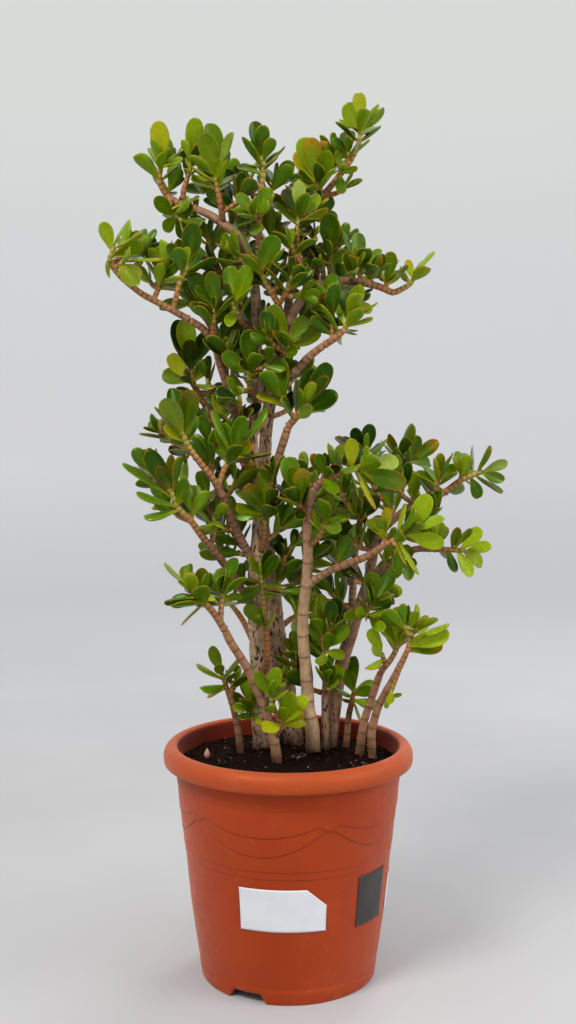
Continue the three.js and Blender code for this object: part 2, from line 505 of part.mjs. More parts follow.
// A leaf widens evenly from its narrow root to its widest place and ends blunt. It is thickest near the
// root. These are shares of its length and of its width.
const WIDEST_AT = 0.66;
const THICKEST_AT = 0.28;
const BLUNT_AT = 0.97;
const BLUNT_WIDTH = 0.5;
const ROOT_WIDTH = 0.05;

function leafPoint(leaf, along, side, lift) {
  const bow = LEAF_BOW * leaf.length * along * along;
  return leaf.root.clone()
    .addScaledVector(leaf.ahead, along * leaf.length)
    .addScaledVector(leaf.side, side)
    .addScaledVector(leaf.face, bow + lift);
}

// A leaf with a flat upper face and a keel below: its root, its widest place, the level edge at its tip and
// the keel.
function leafSolid(leaf, grown = 0) {
  const half = leaf.width / 2;
  const past = grown / leaf.length;
  return solidOf([
    leafPoint(leaf, -past, 0, 0),
    leafPoint(leaf, WIDEST_AT, -half - 2 * grown, grown),
    leafPoint(leaf, WIDEST_AT, half + 2 * grown, grown),
    leafPoint(leaf, BLUNT_AT + past, -half * BLUNT_WIDTH - grown, grown),
    leafPoint(leaf, BLUNT_AT + past, half * BLUNT_WIDTH + grown, grown),
    leafPoint(leaf, THICKEST_AT, 0, -LEAF_THICKNESS * leaf.thick - 2 * grown),
  ], [
    [0, 1, 2], [1, 3, 4], [1, 4, 2], [0, 5, 1], [0, 2, 5], [5, 3, 1], [5, 4, 3], [5, 2, 4],
  ]);
}

// ------------------------------------------------ where each leaf goes

const TO_EYE = new THREE.Vector3(0, -1, 0);

function halfWidth(leaf, along) {
  const past = (along - WIDEST_AT) / (BLUNT_AT - WIDEST_AT);
  const share = past < 0 ? ROOT_WIDTH + (1 - ROOT_WIDTH) * (along / WIDEST_AT) : 1 - (1 - BLUNT_WIDTH) * past;
  return share * leaf.width / 2;
}

// Points over a leaf's blade: rows from near the root to the tip, three across.
const NET_ROWS = [0.1, 0.3, 0.5, 0.7, 0.85, 0.98];

function netOf(leaf) {
  return NET_ROWS.map((along) => [-0.9, 0, 0.9].map((side) => (
    leafPoint(leaf, along, side * halfWidth(leaf, along), -0.4 * LEAF_THICKNESS * (1 - Math.abs(side)))
  )));
}

function inLeaf(leaf, point) {
  const from = point.clone().sub(leaf.root);
  const along = from.dot(leaf.ahead) / leaf.length;
  const bow = LEAF_BOW * leaf.length * along * along;
  return { along, side: from.dot(leaf.side), lift: from.dot(leaf.face) - bow };
}

// Whether a line between two points of one leaf's net comes within the clearance of another leaf's blade.
function pierces(a, b, leaf, clearance, free) {
  const low = -LEAF_THICKNESS - clearance;
  if ((a.lift > clearance && b.lift > clearance) || (a.lift < low && b.lift < low)) {
    return false;
  }
  const drop = a.lift - b.lift;
  const middle = Math.abs(drop) < 1e-9 ? 0.5 : (a.lift + LEAF_THICKNESS / 2) / drop;
  return [0, 1, Math.min(1, Math.max(0, middle))].some((t) => {
    const along = a.along + (b.along - a.along) * t;
    const side = a.side + (b.side - a.side) * t;
    const lift = a.lift + (b.lift - a.lift) * t;
    return lift < clearance && lift > low && along > free && along < 1 + clearance / leaf.length
      && Math.abs(side) < halfWidth(leaf, Math.min(1, along)) + clearance;
  });
}

function crosses(leaf, other, clearance, free) {
  const rows = leaf.net.map((row) => row.map((point) => inLeaf(other, point)));
  for (let i = 0; i < rows.length; i += 1) {
    if (NET_ROWS[i] < free) {
      continue;
    }
    for (let k = 0; k < 3; k += 1) {
      if (k < 2 && pierces(rows[i][k], rows[i][k + 1], other, clearance, free)) {
        return true;
      }
      if (i + 1 < rows.length && pierces(rows[i][k], rows[i + 1][k], other, clearance, free)) {
        return true;
      }
    }
  }
  return false;
}

// The room round a leaf, in centimetres, and the shares of its length near the root that need none.
const CLEAR_OF_OTHERS = 0.14;
const CLEAR_OF_OWN = 0.06;
const CLEAR_OF_WOOD = 0.3;
const CLEAR_OF_OWN_TWIG = 0.1;
const ROOT_FREE = 0.08;
const TWIG_FREE = 0.45;

// Whether a leaf is clear of the leaves that are there already and of all the wood.
function fits(leaf, leaves, wood) {
  for (const other of leaves) {
    const reach = (leaf.length + other.length) / 2 + 1;
    if (leaf.middle.distanceToSquared(other.middle) > reach * reach) {
      continue;
    }
    const own = other.spray === leaf.spray;
    const clearance = own ? CLEAR_OF_OWN : CLEAR_OF_OTHERS;
    const free = own ? ROOT_FREE : 0;
    if (crosses(leaf, other, clearance, free) || crosses(other, leaf, clearance, free)) {
      return false;
    }
  }
  for (const { path, owner, middle, reach } of wood) {
    if (leaf.middle.distanceTo(middle) > reach + leaf.length) {
      continue;
    }
    const own = owner === leaf.spray;
    for (let i = 0; i < NET_ROWS.length; i += 1) {
      if (own && NET_ROWS[i] < TWIG_FREE) {
        continue;
      }
      const clearance = own ? CLEAR_OF_OWN_TWIG : CLEAR_OF_WOOD;
      if (leaf.net[i].some((point) => nearestOn(point, path).gap < clearance)) {
        return false;
      }
    }
  }
  return leaf.net.flat().every((point) => point.z > LOWEST_LEAF);
}

function turned(vector, axis, angle) {
  return vector.clone().applyAxisAngle(axis, angle);
}

const NARROWEST_LEAF = 0.5;
const WIDEST_LEAF = 2.9;

// A leaf from its root to its tip, with its upper face as near to a wanted direction as it can be.
function makeLeaf(spray, root, tip, facing, widthShare) {
  const ahead = tip.clone().sub(root);
  const length = ahead.length();
  ahead.normalize();
  const face = facing.clone().addScaledVector(ahead, -facing.dot(ahead)).normalize();
  const leaf = { spray, root, ahead, face, length, side: face.clone().cross(ahead).normalize() };
  leaf.width = Math.min(WIDEST_LEAF, Math.max(NARROWEST_LEAF, widthShare * length));
  leaf.thick = Math.min(1, 0.4 + length / 7);
  leaf.middle = leafPoint(leaf, 0.5, 0, 0);
  leaf.net = netOf(leaf);
  return leaf;
}

// The leaf as wanted, or bent a little further each time until it is clear. Null where no try is.
const TRIES = 14;
const BEND_STEP = 0.055;
const SHORTEN_AFTER = 6;
const SHORTEN_STEP = 0.045;
const TWIST_PER_BEND = 1.6;

function placedLeaf(spray, root, tip, facing, widthShare, leaves, wood, draw) {
  const whole = tip.clone().sub(root);
  for (let tried = 0; tried < TRIES; tried += 1) {
    const bend = BEND_STEP * tried;
    const shorter = 1 - SHORTEN_STEP * Math.max(0, tried - SHORTEN_AFTER);
    const axis = new THREE.Vector3(draw() - 0.5, draw() - 0.5, draw() - 0.5).normalize();
    const run = turned(whole, axis, bend).multiplyScalar(shorter);
    const face = turned(facing, axis, bend * TWIST_PER_BEND);
    const leaf = makeLeaf(spray, root, root.clone().add(run), face, widthShare);
    if (fits(leaf, leaves, wood)) {
      return leaf;
    }
  }
  return null;
}

function readTips(text) {
  return text.split(' ').map((row) => {
    const [, across, up, kind] = row.match(/^(-?[\d.]+),(-?[\d.]+)([wts]?)$/);
    return { across: Number(across), up: Number(up), kind };
  });
}

// The first leaf is near a twig's end, and each further one a step below, no lower than the twig's own start.
// A root starts a little past the twig's axis, on the side away from its leaf.
const ROOT_STEP = 0.34;
const ROOT_FROM_END = 0.12;
const ROOT_ASIDE = -0.03;

function axisOf(path) {
  return path.at(-1).at.clone().sub(path.at(-2).at).normalize();
}

function rootOf(path, level, towards, lowest) {
  const length = pathLength(path);
  const at = Math.max(Math.min(lowest, length * 0.9), length - ROOT_FROM_END - ROOT_STEP * level);
  const point = pointAt(path, at);
  const axis = axisOf(path);
  const out = towards.clone().sub(point);
  out.addScaledVector(axis, -out.dot(axis)).normalize();
  return point.clone().addScaledVector(out, ROOT_ASIDE);
}

// How wide a leaf is for its length.
function widthShareOf(draw) {
  return 0.47 + 0.1 * draw();
}

const FRONT_SHARE = 0.6;

// A leaf of a list. Its tip is where it lines up from the eye, and it leans to the eye, or away from it, as
// far as its length needs.
function listedLeaf(path, level, lowest, { across, up, kind }, draw) {
  const flat = place(across, up, path.at(-1).at.y);
  const root = rootOf(path, level, flat, lowest);
  flat.y = root.y;
  const seen = flat.distanceTo(root);
  const usual = LEAF_LENGTH * (0.88 + 0.2 * draw());
  const least = { w: WIDE_LEAF_LEAST, t: LEAF_LENGTH * 0.9, s: 0, '': usual }[kind];
  const length = Math.min(LONGEST_LEAF, Math.max(seen * 1.02, least));
  const depth = Math.sqrt(Math.max(0, length * length - seen * seen)) * (draw() < FRONT_SHARE ? -1 : 1);
  const tip = flat.clone();
  tip.y += depth;
  const ahead = tip.clone().sub(root).normalize();
  const axis = axisOf(path);
  const upward = axis.addScaledVector(ahead, -axis.dot(ahead));
  upward.z += 0.3;
  const facing = {
    w: TO_EYE.clone().addScaledVector(upward, 0.35),
    t: new THREE.Vector3().crossVectors(ahead, TO_EYE).multiplyScalar(ahead.x > 0 ? 1 : -1),
    s: TO_EYE.clone().addScaledVector(upward, 0.8),
    '': upward.clone().addScaledVector(TO_EYE, 0.5),
  }[kind];
  const twist = (draw() - 0.5) * (kind === '' ? 0.9 : 0.45);
  return { root, tip, facing: turned(facing, ahead, twist), widthShare: widthShareOf(draw) };
}

// Leaves grown by the rule stand in crossed pairs. The lowest pair opens widest and is the longest.
const OPEN_BELOW = 1.35;
const OPEN_STEP = 0.24;
const LENGTH_BELOW = 1.06;
const LENGTH_STEP = 0.11;

function pairedLeaf(path, k, count, lowest, draw) {
  const end = path.at(-1).at;
  const axis = axisOf(path);
  const aside = new THREE.Vector3().crossVectors(axis, new THREE.Vector3(0, 0.3, 1)).normalize();
  const away = new THREE.Vector3().crossVectors(aside, axis).normalize();
  const backward = away.y > 0 ? away : away.clone().negate();
  const pair = Math.floor(k / 2);
  const around = Math.PI * (pair * 0.5 + (k % 2) + 0.25) + (draw() - 0.5) * 0.5;
  const open = OPEN_BELOW - OPEN_STEP * pair;
  const length = LEAF_LENGTH * (LENGTH_BELOW - LENGTH_STEP * pair);
  const outward = turned(backward, axis, around);
  const ahead = axis.clone().multiplyScalar(Math.cos(open)).addScaledVector(outward, Math.sin(open));
  ahead.z += 0.15;
  const root = rootOf(path, count - 1 - k, end.clone().addScaledVector(ahead, LEAF_LENGTH), lowest);
  const tip = root.clone().addScaledVector(ahead.normalize(), length * (0.92 + 0.16 * draw()));
  const facing = turned(axis.clone().addScaledVector(outward, -0.2), ahead, (draw() - 0.5) * 0.7);
  return { root, tip, facing, widthShare: widthShareOf(draw) };
}

const PAIRED_SEED = 40;

// The leaves of one shoot, listed or by the rule. Those that find no clear place are left out.
function growShoot(spray, path, lowest, ends, leaves, wood, seed) {
  const grow = (number, build) => {
    const draw = seeded(seed + number);
    const { root, tip, facing, widthShare } = build(draw);
    const leaf = placedLeaf(spray, root, tip, facing, widthShare, leaves, wood, draw);
    if (leaf) {
      leaves.push(leaf);
    }
  };
  if (typeof ends === 'number') {
    for (let k = 0; k < ends; k += 1) {
      grow(PAIRED_SEED + k, (draw) => pairedLeaf(path, k, ends, lowest, draw));
    }
    return;
  }
  const end = path.at(-1).at;
  const leanOf = ({ across, up }) => place(across, up, end.y).sub(end).normalize().dot(axisOf(path));
  const listed = readTips(ends).sort((a, b) => leanOf(b) - leanOf(a));
  listed.forEach((tip, i) => grow(i, (draw) => listedLeaf(path, i, lowest, tip, draw)));
}

// Where a spray begins: the first place on its path that is clear of its stem's limbs.
function cutOf(path, limbs) {
  const length = pathLength(path);
  for (let at = 0.4; at < length - CUT_STEP; at += CUT_STEP) {
    const point = pointAt(path, at);
    if (limbs.every((limb) => nearestOn(point, limb).gap > STUB)) {
      return at;
    }
  }
  return length / 2;
}

function woodEntry(path, owner) {
  const middle = path[0].at.clone().lerp(path.at(-1).at, 0.5);
  const reach = Math.max(...path.map(({ at, radius }) => at.distanceTo(middle) + radius));
  return { path, owner, middle, reach };
}

// A side twig starts on the first one, at least this far past its cut, and roots start a little above a
// twig's own start, in centimetres.
const FORK_FREE = 0.2;
const FIRST_ROOT = 0.3;
const FIRST_SIDE_ROOT = 0.25;
const SPRAY_SEED = 1000;
const SHOOT_SEED = 100;

const stems = new Map();
const wood = [];
for (const stem of STEMS) {
  const limbs = stem.limbs.map(readPath);
  stems.set(stem.name, { ...stem, limbs, stubs: [] });
  wood.push(...limbs.map((limb) => woodEntry(limb, stem.name)));
}
const sprays = SPRAYS.map((spray) => {
  const paths = spray.shoots.map(([path]) => readPath(path));
  const stem = stems.get(spray.on);
  const cut = cutOf(paths[0], stem.limbs);
  stem.stubs.push(stretch(paths[0], 0, cut));
  const first = stretch(paths[0], cut + GAP / MM_PER_CM, Infinity);
  for (const side of paths.slice(1)) {
    side[0].at.copy(nearestOn(side[0].at, stretch(first, FORK_FREE, Infinity)).at);
  }
  const twigs = [first, ...paths.slice(1)];
  wood.push(...paths.map((path) => woodEntry(path, spray.name)));
  return { ...spray, paths, cut, twigs };
});
const leaves = [];
sprays.forEach((spray, number) => {
  spray.shoots.forEach(([, ends], i) => {
    const lowest = i === 0 ? spray.cut + FIRST_ROOT : FIRST_SIDE_ROOT;
    growShoot(spray.name, spray.paths[i], lowest, ends, leaves, wood, SPRAY_SEED * number + SHOOT_SEED * i);
  });
});

// ------------------------------------------------ the pot, the soil and the stickers

function bodyRadius(height) {
  const share = (height - PLATE_BOTTOM) / (POT_HEIGHT - RIM_DEPTH - PLATE_BOTTOM);
  const foot = BASE_RADIUS + FOOT_FLARE;
  return foot + (NECK_RADIUS - foot) * Math.pow(Math.min(1, Math.max(0, share)), FLARE_POWER);
}

// The outer profile steps in a little below each line that runs round the pot.
function potProfile() {
  const steps = [...BELT_HEIGHTS, UPPER_STEP_HEIGHT];
  const lower = bodyRadius(LOWER_WALL_HEIGHT) - STEP * steps.length;
  const outside = [[BASE_RADIUS, 0], [lower, LOWER_WALL_HEIGHT]];
  steps.forEach((height, i) => {
    const inset = STEP * (steps.length - i);
    outside.push([bodyRadius(height) - inset, height]);
    outside.push([bodyRadius(height) - inset + STEP, height + STEP]);
  });
  const neck = POT_HEIGHT - RIM_DEPTH;
  const [skirtIn, skirtOut] = [RIM_OUTER_RADIUS - RIM_WALL, RIM_OUTER_RADIUS];
  const rim = [
    [NECK_RADIUS, POT_HEIGHT - RIM_WALL - 3],
    [skirtIn - 4, POT_HEIGHT - RIM_WALL - 2],
    [skirtIn, POT_HEIGHT - RIM_WALL - 8],
    [skirtIn, neck],
    [skirtOut, neck],
    [skirtOut, POT_HEIGHT - 9],
    [skirtOut - 5, POT_HEIGHT - 1.6],
    [skirtOut - 11, POT_HEIGHT],
    [RIM_INNER_RADIUS, POT_HEIGHT - 3],
  ];
  const inside = [200, 80].map((height) => [bodyRadius(height) - STEP * 3 - WALL, height]);
  const floor = [
    [BASE_RADIUS - STEP - WALL, PLATE_TOP + 3],
    [BASE_RADIUS - STEP - WALL - 3, PLATE_TOP],
    [0, PLATE_TOP],
    [0, PLATE_BOTTOM],
    [BASE_RADIUS - 5, PLATE_BOTTOM],
    [BASE_RADIUS - 4.5, 0],
  ];
  return { outer: [...outside, ...rim], inside, floor };
}

function lathe(rows) {
  const closed = [...rows, rows[0]].map(([radius, height]) => new THREE.Vector2(radius, height));
  return new THREE.LatheGeometry(closed, POT_SEGMENTS).rotateX(Math.PI / 2);
}

function potSolid() {
  const { outer, inside, floor } = potProfile();
  let pot = solidFrom(lathe([...outer, ...inside, ...floor]));
  const half = [NOTCH_WIDTH_BELOW / 2, NOTCH_WIDTH_ABOVE / 2];
  const outline = new THREE.Shape([
    new THREE.Vector2(-half[0], -1),
    new THREE.Vector2(half[0], -1),
    new THREE.Vector2(half[1], NOTCH_HEIGHT - GAP),
    new THREE.Vector2(-half[1], NOTCH_HEIGHT - GAP),
  ]);
  for (let k = 0; k < NOTCHES; k += 1) {
    const notch = new THREE.ExtrudeGeometry(outline, { depth: 40, bevelEnabled: false });
    notch.rotateX(Math.PI / 2).translate(0, -BASE_RADIUS + 20, 0);
    notch.rotateZ(THREE.MathUtils.degToRad(FIRST_NOTCH_DEGREES + (360 / NOTCHES) * k));
    pot = pot.subtract(solidFrom(notch));
  }
  for (let k = 0; k < DRAINS; k += 1) {
    const turn = (2 * Math.PI * k) / DRAINS;
    const drain = new THREE.CylinderGeometry(DRAIN_RADIUS, DRAIN_RADIUS, 20, 6).rotateX(Math.PI / 2);
    drain.translate(DRAIN_CIRCLE * Math.cos(turn), DRAIN_CIRCLE * Math.sin(turn), PLATE_BOTTOM);
    pot = pot.subtract(solidFrom(drain));
  }
  return pot;
}

// The soil fills the pot up to a low mound, with a round hole for each rooted stem.
function soilSolid() {
  const { inside } = potProfile();
  const wallAt = (height) => {
    const rows = [[RIM_INNER_RADIUS, POT_HEIGHT - 4], ...inside, [BASE_RADIUS - STEP - WALL, PLATE_TOP + 3]];
    const next = rows.findIndex(([, level]) => level <= height);
    const [[r1, z1], [r0, z0]] = [rows[next - 1], rows[next]];
    return r0 + (r1 - r0) * (height - z0) / (z1 - z0);
  };
  const rows = [[0, SOIL_BOTTOM], [BASE_RADIUS - STEP - WALL - 4, SOIL_BOTTOM]];
  for (const height of [PLATE_TOP + 6, 80, 200, SOIL_EDGE_HEIGHT]) {
    rows.push([wallAt(height) - GAP - 0.6, height]);
  }
  for (const share of [0.7, 0.35, 0]) {
    const rise = (SOIL_CENTRE_HEIGHT - SOIL_EDGE_HEIGHT) * (1 - share * share);
    rows.push([wallAt(SOIL_EDGE_HEIGHT) * share, SOIL_EDGE_HEIGHT + rise]);
  }
  let soil = solidFrom(lathe(rows));
  for (const { limbs: [rooted] } of stems.values()) {
    const path = stretch(rooted, 0, HOLE_REACH);
    const down = path[0].at.clone().sub(path[1].at).normalize();
    path[0].at.addScaledVector(down, HOLE_FLOOR_GAP);
    soil = soil.subtract(tube(path, HOLE_SIDES, HOLE_CLEARANCE / MM_PER_CM));
  }
  return soil;
}

// How far out a faceted wall is at a turn from the front, from the radius of its corners.
function facetRadius(radius, degrees) {
  const facet = 360 / POT_SEGMENTS;
  const fromMiddle = THREE.MathUtils.euclideanModulo(degrees, facet) - facet / 2;
  const { cos } = Math;
  return radius * cos(THREE.MathUtils.degToRad(facet / 2)) / cos(THREE.MathUtils.degToRad(fromMiddle));
}

// A sticker is a thin sheet that bends with the wall's facets, between the foot and the belt. From the turn
// cutFrom its upper edge runs down to the cut-off corner.
function stickerSolid({ from, to, cutFrom, low, high }) {
  const facet = 360 / POT_SEGMENTS;
  const turns = [from, cutFrom, to];
  for (let corner = facet * Math.ceil(from / facet); corner < to; corner += facet) {
    turns.push(corner);
  }
  const columns = [...new Set(turns)].sort((a, b) => a - b);
  const [belt] = BELT_HEIGHTS;
  const inset = STEP * (BELT_HEIGHTS.length + 1);
  const [lower, upper] = [bodyRadius(LOWER_WALL_HEIGHT) - inset, bodyRadius(belt) - inset];
  const points = [];
  for (const column of columns) {
    const cut = column > cutFrom ? (column - cutFrom) / (to - cutFrom) : 0;
    const turn = THREE.MathUtils.degToRad(column - 90);
    for (const height of [low, high - cut * CORNER_DROP * (high - low)]) {
      const rise = (height - LOWER_WALL_HEIGHT) / (belt - LOWER_WALL_HEIGHT);
      const rest = facetRadius(lower + (upper - lower) * rise, column) + GAP;
      for (const radius of [rest, rest + STICKER_THICKNESS]) {
        const point = new THREE.Vector3(radius * Math.cos(turn), radius * Math.sin(turn), height);
        points.push(point.divideScalar(MM_PER_CM));
      }
    }
  }
  const triangles = [];
  const ring = [0, 2, 3, 1];
  for (let i = 0; i < columns.length - 1; i += 1) {
    for (let k = 0; k < ring.length; k += 1) {
      const [a, b] = [i * 4 + ring[k], i * 4 + ring[(k + 1) % ring.length]];
      triangles.push([a, b, b + 4], [a, b + 4, a + 4]);
    }
  }
  const last = (columns.length - 1) * 4;
  triangles.push([0, 3, 2], [0, 1, 3], [last, last + 2, last + 3], [last, last + 3, last + 1]);
  return solidOf(points, triangles);
}

// ------------------------------------------------ the whole plant

// The largest body of a solid, with its sealed hollows filled and its loose scraps dropped.
function largestBody(solid) {
  return solid.decompose().sort((a, b) => b.volume() - a.volume())[0];
}

function joined(solids) {
  return wasm.Manifold.union(solids);
}

const TWIG_SIDES = 3;
const LIMB_SIDES = 5;
const TRIM = 0.04;

const POT_COLOUR = 0xb5532f;
const SOIL_COLOUR = 0x2a1f18;
const PAPER_COLOUR = 0xe8e8ea;
const DARK_STICKER_COLOUR = 0x3c3835;
const LEAF_COLOUR = 0x6f9630;

const group = new THREE.Group();

const SHORTEST_EDGE = 0.03;

// Draws together the two ends of each edge that is too short to matter, where the surface stays closed.
function withoutShortEdges(points, triangles) {
  let faces = triangles;
  for (;;) {
    const around = points.map(() => new Set());
    const edges = faces.flatMap(([a, b, c]) => [[a, b], [b, c], [c, a]]);
    for (const [a, b] of edges) {
      around[a].add(b);
      around[b].add(a);
    }
    const shared = (a, b) => [...around[a]].filter((other) => around[b].has(other)).length;
    const found = edges.find(([a, b]) => points[a].distanceTo(points[b]) < SHORTEST_EDGE && shared(a, b) === 2);
    if (!found) {
      return faces;
    }
    const [kept, gone] = found;
    faces = faces.filter((face) => !(face.includes(kept) && face.includes(gone)));
    faces = faces.map((face) => face.map((corner) => (corner === gone ? kept : corner)));
  }
}

function addNode(name, solid, colour, roughness) {
  const { numProp, vertProperties, triVerts } = solid.getMesh();
  const points = [];
  for (let i = 0; i < vertProperties.length; i += numProp) {
    points.push(new THREE.Vector3().fromArray(vertProperties, i));
  }
  const triangles = [];
  for (let i = 0; i < triVerts.length; i += 3) {
    triangles.push([...triVerts.subarray(i, i + 3)]);
  }
  const geometry = new THREE.BufferGeometry().setFromPoints(points);
  geometry.setIndex(withoutShortEdges(points, triangles).flat());
  geometry.computeVertexNormals();
  const material = new THREE.MeshStandardMaterial({ color: colour, roughness, metalness: 0 });
  const mesh = new THREE.Mesh(geometry, material);
  mesh.name = name;
  group.add(mesh);
}

addNode('pot', potSolid(), POT_COLOUR, 0.55);
addNode('soil', largestBody(soilSolid()), SOIL_COLOUR, 1);
addNode(PAPER_STICKER.name, stickerSolid(PAPER_STICKER), PAPER_COLOUR, 0.7);
addNode(DARK_STICKER.name, stickerSolid(DARK_STICKER), DARK_STICKER_COLOUR, 0.5);

const built = [];
function boxesMeet(a, b) {
  return [0, 1, 2].every((k) => a.min[k] < b.max[k] + 0.5 && b.min[k] < a.max[k] + 0.5);
}

// Cuts away what would still touch a node that is built already, with a little room round it.
function clearOfOthers(solid) {
  let rest = solid;
  for (const other of built) {
    if (boxesMeet(rest.boundingBox(), other.box) && rest.intersect(other.solid).volume() > 0) {
      rest = largestBody(rest.subtract(other.grown()));
    }
  }
  return rest;
}

for (const stem of stems.values()) {
  const make = (grown) => joined([
    ...stem.limbs.map((limb, i) => tube(limb, i === 0 ? stem.sides : LIMB_SIDES, grown)),
    ...stem.stubs.map((stub) => tube(stub, TWIG_SIDES, grown)),
  ]);
  const solid = clearOfOthers(largestBody(make(0)));
  built.push({ name: stem.name, solid, box: solid.boundingBox(), grown: () => make(TRIM) });
  addNode(stem.name, solid, stem.colour, 0.85);
}

for (const spray of sprays) {
  const make = (grown) => joined([
    ...spray.twigs.map((twig) => tube(twig, TWIG_SIDES, grown)),
    ...leaves.filter((leaf) => leaf.spray === spray.name).map((leaf) => leafSolid(leaf, grown)),
  ]);
  const solid = clearOfOthers(largestBody(make(0)));
  built.push({ name: spray.name, solid, box: solid.boundingBox(), grown: () => make(TRIM) });
  addNode(spray.name, solid, LEAF_COLOUR, 0.4);
}

// The part stands with the middle of its footprint over the origin.
const box = new THREE.Box3().setFromObject(group);
const middle = box.getCenter(new THREE.Vector3());
group.position.set(-middle.x, -middle.y, -box.min.z);

export default group;
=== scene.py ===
import math

import bpy
import numpy as np
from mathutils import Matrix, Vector, noise


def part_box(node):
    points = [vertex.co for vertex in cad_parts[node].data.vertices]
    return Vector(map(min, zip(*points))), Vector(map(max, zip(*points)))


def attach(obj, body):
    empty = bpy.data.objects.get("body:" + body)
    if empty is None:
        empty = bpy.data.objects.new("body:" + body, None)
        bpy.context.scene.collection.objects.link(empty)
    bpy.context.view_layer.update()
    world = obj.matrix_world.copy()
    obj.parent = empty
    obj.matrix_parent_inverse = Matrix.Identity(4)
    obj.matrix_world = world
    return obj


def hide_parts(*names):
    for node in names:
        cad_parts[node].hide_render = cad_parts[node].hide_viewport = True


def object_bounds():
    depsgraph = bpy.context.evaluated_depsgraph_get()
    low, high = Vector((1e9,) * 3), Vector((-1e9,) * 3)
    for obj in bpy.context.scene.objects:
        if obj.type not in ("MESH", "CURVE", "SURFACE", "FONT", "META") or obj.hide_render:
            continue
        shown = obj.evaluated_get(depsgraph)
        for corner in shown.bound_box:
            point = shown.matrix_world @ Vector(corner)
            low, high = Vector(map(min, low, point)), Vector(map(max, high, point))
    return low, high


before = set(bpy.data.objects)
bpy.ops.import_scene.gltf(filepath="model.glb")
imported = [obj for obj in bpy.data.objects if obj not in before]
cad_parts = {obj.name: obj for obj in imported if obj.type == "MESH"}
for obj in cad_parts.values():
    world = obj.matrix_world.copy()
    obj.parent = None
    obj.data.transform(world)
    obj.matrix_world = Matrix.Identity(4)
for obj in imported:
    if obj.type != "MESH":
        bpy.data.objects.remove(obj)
cad_low, cad_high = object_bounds()

pot_low, pot_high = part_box("pot")
AXIS_X = (pot_low.x + pot_high.x) / 2
AXIS_Y = (pot_low.y + pot_high.y) / 2
CM = 0.01
MM = 0.001

# ------------------------------------------------------------------ the camera

# Where the photo was taken from: the distance to the pot's axis and the height in centimetres, how far
# the camera looks down in radians, and its lens for a sensor 36 mm high.
EYE_DISTANCE = 158.0
EYE_HEIGHT = 70.9
EYE_PITCH = 0.0704
LENS = 43.52
SENSOR = 36.0

# How far the picture is shifted, as a share of its height of 1024 pixels.
SHIFT_X = -0.3 / 1024

camera = bpy.data.cameras.new("camera")
camera.lens = LENS
camera.sensor_width = SENSOR
camera.shift_x = SHIFT_X
camera_object = bpy.data.objects.new("camera", camera)
camera_object.location = (AXIS_X, AXIS_Y - EYE_DISTANCE * CM, EYE_HEIGHT * CM)
camera_object.rotation_euler = (math.pi / 2 - EYE_PITCH, 0.0, 0.0)
bpy.context.scene.collection.objects.link(camera_object)
bpy.context.scene.camera = camera_object

# ------------------------------------------------------------------ the layout of stems and leaves

